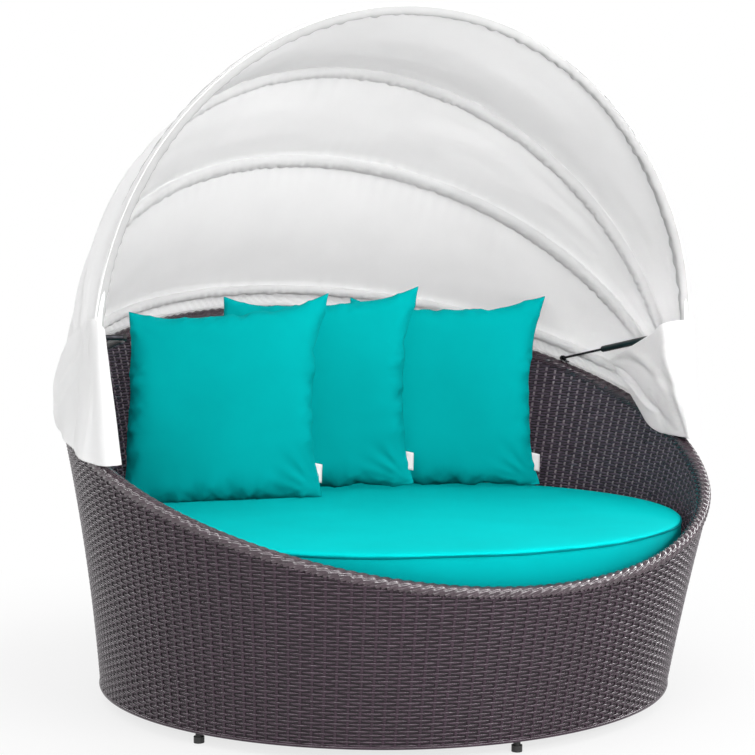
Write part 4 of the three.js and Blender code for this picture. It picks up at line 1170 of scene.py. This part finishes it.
def seat_grid(rings, angle):
    """Points of the seat's surface, with puckers beside the seam and a slight rumple on top."""
    low = wave_noise(angle * 6, angle * 0, 44, 8, 0.6, 1.7)
    grid = np.zeros((len(rings), len(angle), 3))
    for i, (radius, z) in enumerate(rings):
        radius = np.full(len(angle), max(radius, SEAT_LEAST_RADIUS))
        if i in SEAT_PUCKER_ROWS:
            reach = math.exp(-((z - SEAT_SEAM) / SEAT_PUCKER_REACH) ** 2)
            radius += SEAT_PUCKER * reach * wave_noise(angle * 40, angle * 0, 3 + i // 4, 10, 0.6, 1.6)
        if i in SEAT_SIDE_ROWS:
            radius += SEAT_WAVE * low
        grid[i, :, 0], grid[i, :, 1] = seat_circle(angle, radius)
        grid[i, :, 2] = z
    top = grid[SEAT_TOP_ROW:]
    slow = wave_noise(top[..., 0] * 7, top[..., 1] * 7, 21, 12, 0.6, 1.8) * SEAT_RUMPLE
    top[..., 2] += np.minimum(slow, 0.0)
    return grid


def add_seat():
    """The round seat: a top panel and a boxed side, sewn together at the piped seam."""
    rings = seat_rings()
    angle = 2 * np.pi * np.arange(SEAT_COLUMNS) / SEAT_COLUMNS
    grid = seat_grid(rings, angle)
    points = grid.reshape(-1, 3)
    faces = [grid_faces(len(rings), SEAT_COLUMNS, ring=True)]
    for row, flip in ((0, True), (len(rings) - 1, False)):
        ring = row * SEAT_COLUMNS + np.arange(SEAT_COLUMNS)
        centre = np.full(SEAT_COLUMNS // 2, len(points))
        points = np.concatenate([points, grid[row].mean(0, keepdims=True)])
        cap = np.stack([ring[::2], ring[1::2], np.roll(ring, -1)[1::2], centre], -1)
        faces.append(cap[:, ::-1] if flip else cap)
    piece = mesh_piece("seat_cushion_cover", points, np.concatenate(faces), "seat_cloth", "seat_cloth")
    piece.data.flip_normals()
    # faces below the seam take the darker copy: painted shade on the seat's side
    piece.data.materials.append(MATERIALS["seat_side_shade_cloth"])
    for polygon in piece.data.polygons:
        polygon.material_index = int(polygon.center.z < SEAT_SEAM)
    subdivide(piece)
    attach(piece, "cushion")
    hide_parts("seat_cushion")
    # the white cloth above stays as neutral as the photograph shows it
    piece.visible_diffuse = False
    height = SEAT_SEAM + SEAT_WAVE * wave_noise(angle * 9, angle * 0, 9, 8, 0.6, 1.8)
    seam = np.stack([*seat_circle(angle, SEAT_RADIUS - PIPING_INSET), height], -1)
    # the piping's dark teal is painted shade of the seam's groove
    sweep_piece("seat_piping", seam, PIPING_RADIUS, "piping", "seat_cloth", "cushion", ring=True)


# The pillows

def settle(piece):
    """Blows a closed piece up with a cloth simulation, and caps how far each of its points moves."""
    scene = bpy.context.scene
    count = len(piece.data.vertices)
    rest = np.zeros(count * 3, np.float32)
    piece.data.vertices.foreach_get("co", rest)
    modifier = piece.modifiers.new("cloth", "CLOTH")
    settings = modifier.settings
    settings.quality = 5
    settings.mass = 0.3
    settings.tension_stiffness = 15.0
    settings.compression_stiffness = 15.0
    settings.shear_stiffness = 7.5
    settings.bending_stiffness = 0.5
    settings.air_damping = 2.0
    settings.use_pressure = True
    settings.uniform_pressure_force = PILLOW_PRESSURE
    settings.effector_weights.gravity = 0
    modifier.point_cache.frame_start = 1
    modifier.point_cache.frame_end = PILLOW_FRAMES
    for number in range(1, PILLOW_FRAMES + 1):
        scene.frame_set(number)
    evaluated = piece.evaluated_get(bpy.context.evaluated_depsgraph_get())
    after = np.zeros(count * 3, np.float32)
    evaluated.data.vertices.foreach_get("co", after)
    piece.modifiers.remove(modifier)
    scene.frame_set(1)
    rest, after = rest.reshape(-1, 3), after.reshape(-1, 3)
    move = after - rest
    far = np.linalg.norm(move, axis=1, keepdims=True)
    return rest + move * np.minimum(1.0, PILLOW_MOST_MOVE / np.maximum(far, 1e-9))


def plain_pillow():
    """Points and faces of a square pillow of side 1 before it is filled: two layers sewn round the edge."""
    n = PILLOW_GRID
    u = np.linspace(-1, 1, n + 1)
    a, b = np.meshgrid(u, u, indexing="ij")
    swell = PILLOW_START_SWELL * np.sqrt(np.clip((1 - a * a) * (1 - b * b), 0, 1))
    front = np.stack([a / 2, b / 2, -swell], -1).reshape(-1, 3)
    back = np.stack([a / 2, b / 2, swell], -1).reshape(-1, 3)
    index = np.arange((n + 1) ** 2).reshape(n + 1, n + 1)
    edge = (np.abs(a) == 1) | (np.abs(b) == 1)
    other = index.copy()
    other[~edge] = (n + 1) ** 2 + np.arange((~edge).sum())
    points = np.concatenate([front, back[~edge.reshape(-1)]])
    f = np.stack([index[:-1, :-1], index[:-1, 1:], index[1:, 1:], index[1:, :-1]], -1)
    g = np.stack([other[:-1, :-1], other[1:, :-1], other[1:, 1:], other[:-1, 1:]], -1)
    return points, np.concatenate([f.reshape(-1, 4), g.reshape(-1, 4)])


def filled_pillow():
    """The pillow of side 1 blown up by a cloth simulation, so that its sides draw in and creases form."""
    points, faces = plain_pillow()
    points = points * PILLOW_CUT
    piece = mesh_piece("pillow_form", points, faces, "pillow_cloth")
    result = settle(piece)
    bpy.data.objects.remove(piece)
    return np.asarray(result, float), faces


def pillow_form():
    """The filled pillow with its tips at -1 and 1 and its thickness in metres."""
    form, faces = filled_pillow()
    n = PILLOW_GRID + 1
    index = np.arange(n * n).reshape(n, n)
    low_left, low_right, up_right, up_left = form[[index[0, 0], index[-1, 0], index[-1, -1], index[0, -1]]]
    half_x = (low_right[0] + up_right[0] - low_left[0] - up_left[0]) / 4
    half_y = (up_right[1] + up_left[1] - low_left[1] - low_right[1]) / 4
    form = form - (low_left + low_right + up_right + up_left) / 4
    form[:, 0] /= half_x
    form[:, 1] /= half_y
    form[:, 2] *= PILLOW_HALF_THICKNESS / np.abs(form[:, 2]).max()
    return form, faces


def waist_of(form, u):
    """How far the lower seam of the pillow form lies above the line through its lower tips, at each u."""
    n = PILLOW_GRID + 1
    line = form[np.arange(n) * n]
    order = np.argsort(line[:, 0])
    return np.interp(u, line[order, 0], line[order, 1] + 1)


def corner_creases(du, dv, creases, turn, from_corner, reach):
    """Depth of creases that start near a corner and fan out over the pillow."""
    distance = np.hypot(du, dv)
    direction = np.degrees(np.arctan2(dv, du))
    total = np.zeros(len(du))
    for centre, width, depth in creases:
        total += depth * np.exp(-((direction - centre - turn) / width) ** 2)
    return total * np.exp(-((distance - from_corner) / reach) ** 2)


def pillow_depth(u, v, w, number):
    """The form's thickness with its creases, wrinkles, puckers and rumples."""
    edge_weight = np.exp(-(w / PILLOW_EDGE_DEPTH) ** 2)
    crease = corner_creases(1 - u, v + 1, LOWER_CORNER_CREASES, 3 * number, 0.28, 0.22)
    crease *= 1 - edge_weight * 0.5
    crease += corner_creases(u + 1, 1 - v, UPPER_CORNER_CREASES, 0, 0.25, 0.18)
    # wrinkles that stand on the bottom seam and small puckers beside the other seams
    bottom = np.exp(-((v + 0.93) / 0.20) ** 2)
    crease += BOTTOM_WRINKLE * bottom * wave_noise(u * 15, v * 2, 60 + number, 10, 0.6, 1.8)
    for edge, along, seed in ((1 - np.abs(u), v, 64), (1 - np.abs(v), u, 65)):
        near = SEAM_PUCKER * np.exp(-(edge / 0.10) ** 2)
        crease += near * wave_noise(along * 40, edge * 4, seed, 10, 0.6, 1.7)
    rumple = wave_noise(u * 4, v * 4, 90 + number, 12, 0.6, 1.8) * PILLOW_RUMPLE * (1 - u * u) * (1 - v * v)
    return w + np.sign(w) * (rumple - crease)


def add_pillows():
    form, faces = pillow_form()
    u, v, w = form.T
    # the same form stands as it is, turned a quarter and mirrored
    turned = ((u, v, w, faces), (v, -u, w, faces), (-u, v, w, faces[:, ::-1]))
    for number, (name, corners) in enumerate(PILLOW_CORNERS.items()):
        u, v, w, local_faces = turned[number]
        # the seams draw in as the photograph shows: hardly at the bottom, which lies on the seat
        free_u, free_v = 1 - waist_of(form, v), 1 - waist_of(form, u)
        left, right = LEFT_DRAW_SHARE * (1 - v ** 4), RIGHT_DRAW_SHARE * (1 - np.abs(v) ** 2.4)
        bottom, top = BOTTOM_DRAW_SHARE * (1 - u ** 4), TOP_DRAW_SHARE * (1 - np.abs(u) ** 3.2)
        drawn_u, drawn_v = 1 - np.where(u < 0, left, right), 1 - np.where(v < 0, bottom, top)
        u, v = u * drawn_u / free_u, v * drawn_v / free_v
        w = pillow_depth(u, v, w, number)
        ul, ur, lr, ll = (np.array((x, y, seat_top(x, y) + SEAT_GAP + h)) for x, y, h in corners)
        back = unit(np.cross(ur - ul, ll - ul))
        x, y = ((1 + u) / 2)[:, None], ((1 + v) / 2)[:, None]
        place = (ll * (1 - x) + lr * x) * (1 - y) + (ul * (1 - x) + ur * x) * y + back * w[:, None]
        place[:, 2] = np.maximum(place[:, 2], seat_top(place[:, 0], place[:, 1]) + PILLOW_GAP)
        body = "_".join(reversed(name.split("_")))
        piece = mesh_piece(f"{name}_cover", place, local_faces, "pillow_cloth", "pillow_cloth")
        subdivide(piece)
        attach(piece, body)
        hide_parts(name)
        piece.visible_diffuse = False
        add_tag(name, body, lr, unit(ur - lr), unit(lr - ll), back)


def add_tag(name, body, corner, up, side, back):
    """A blank sewn-in tag on the right seam, near the lower corner."""
    foot = corner + up * TAG_ABOVE_CORNER - side * TAG_INSET
    s = np.linspace(0, 1, TAG_ROWS)[:, None, None]
    t = np.linspace(0, 1, TAG_COLUMNS)[None, :, None]
    bend = np.sin(np.pi * t * 0.9) * TAG_BOW + TAG_LEAN * s
    grid = foot + up * (s * TAG_LENGTH - TAG_SLANT * t) + side * (t * TAG_WIDTH) - back * bend
    piece = cloth_piece(f"{name}_tag", grid, "tag", None, TAG_THICKNESS)
    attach(piece, body)


bpy.context.scene.view_settings.view_transform = "Standard"
add_camera()
make_materials()
add_floor()
add_world()
add_lamps()
dress_cad()
add_weave()
add_rim_wrap()
add_base_border()
add_panels()
add_sleeves()
add_rear_skirt()
add_flap("hinge_flap_right", 1, RIGHT_FLAP_TOP, RIGHT_FLAP_HEM, RIGHT_CREASES, 3)
add_flap("hinge_flap_left", -1, LEFT_FLAP_TOP, LEFT_FLAP_HEM, LEFT_CREASES, 4)
add_seat()
add_pillows()
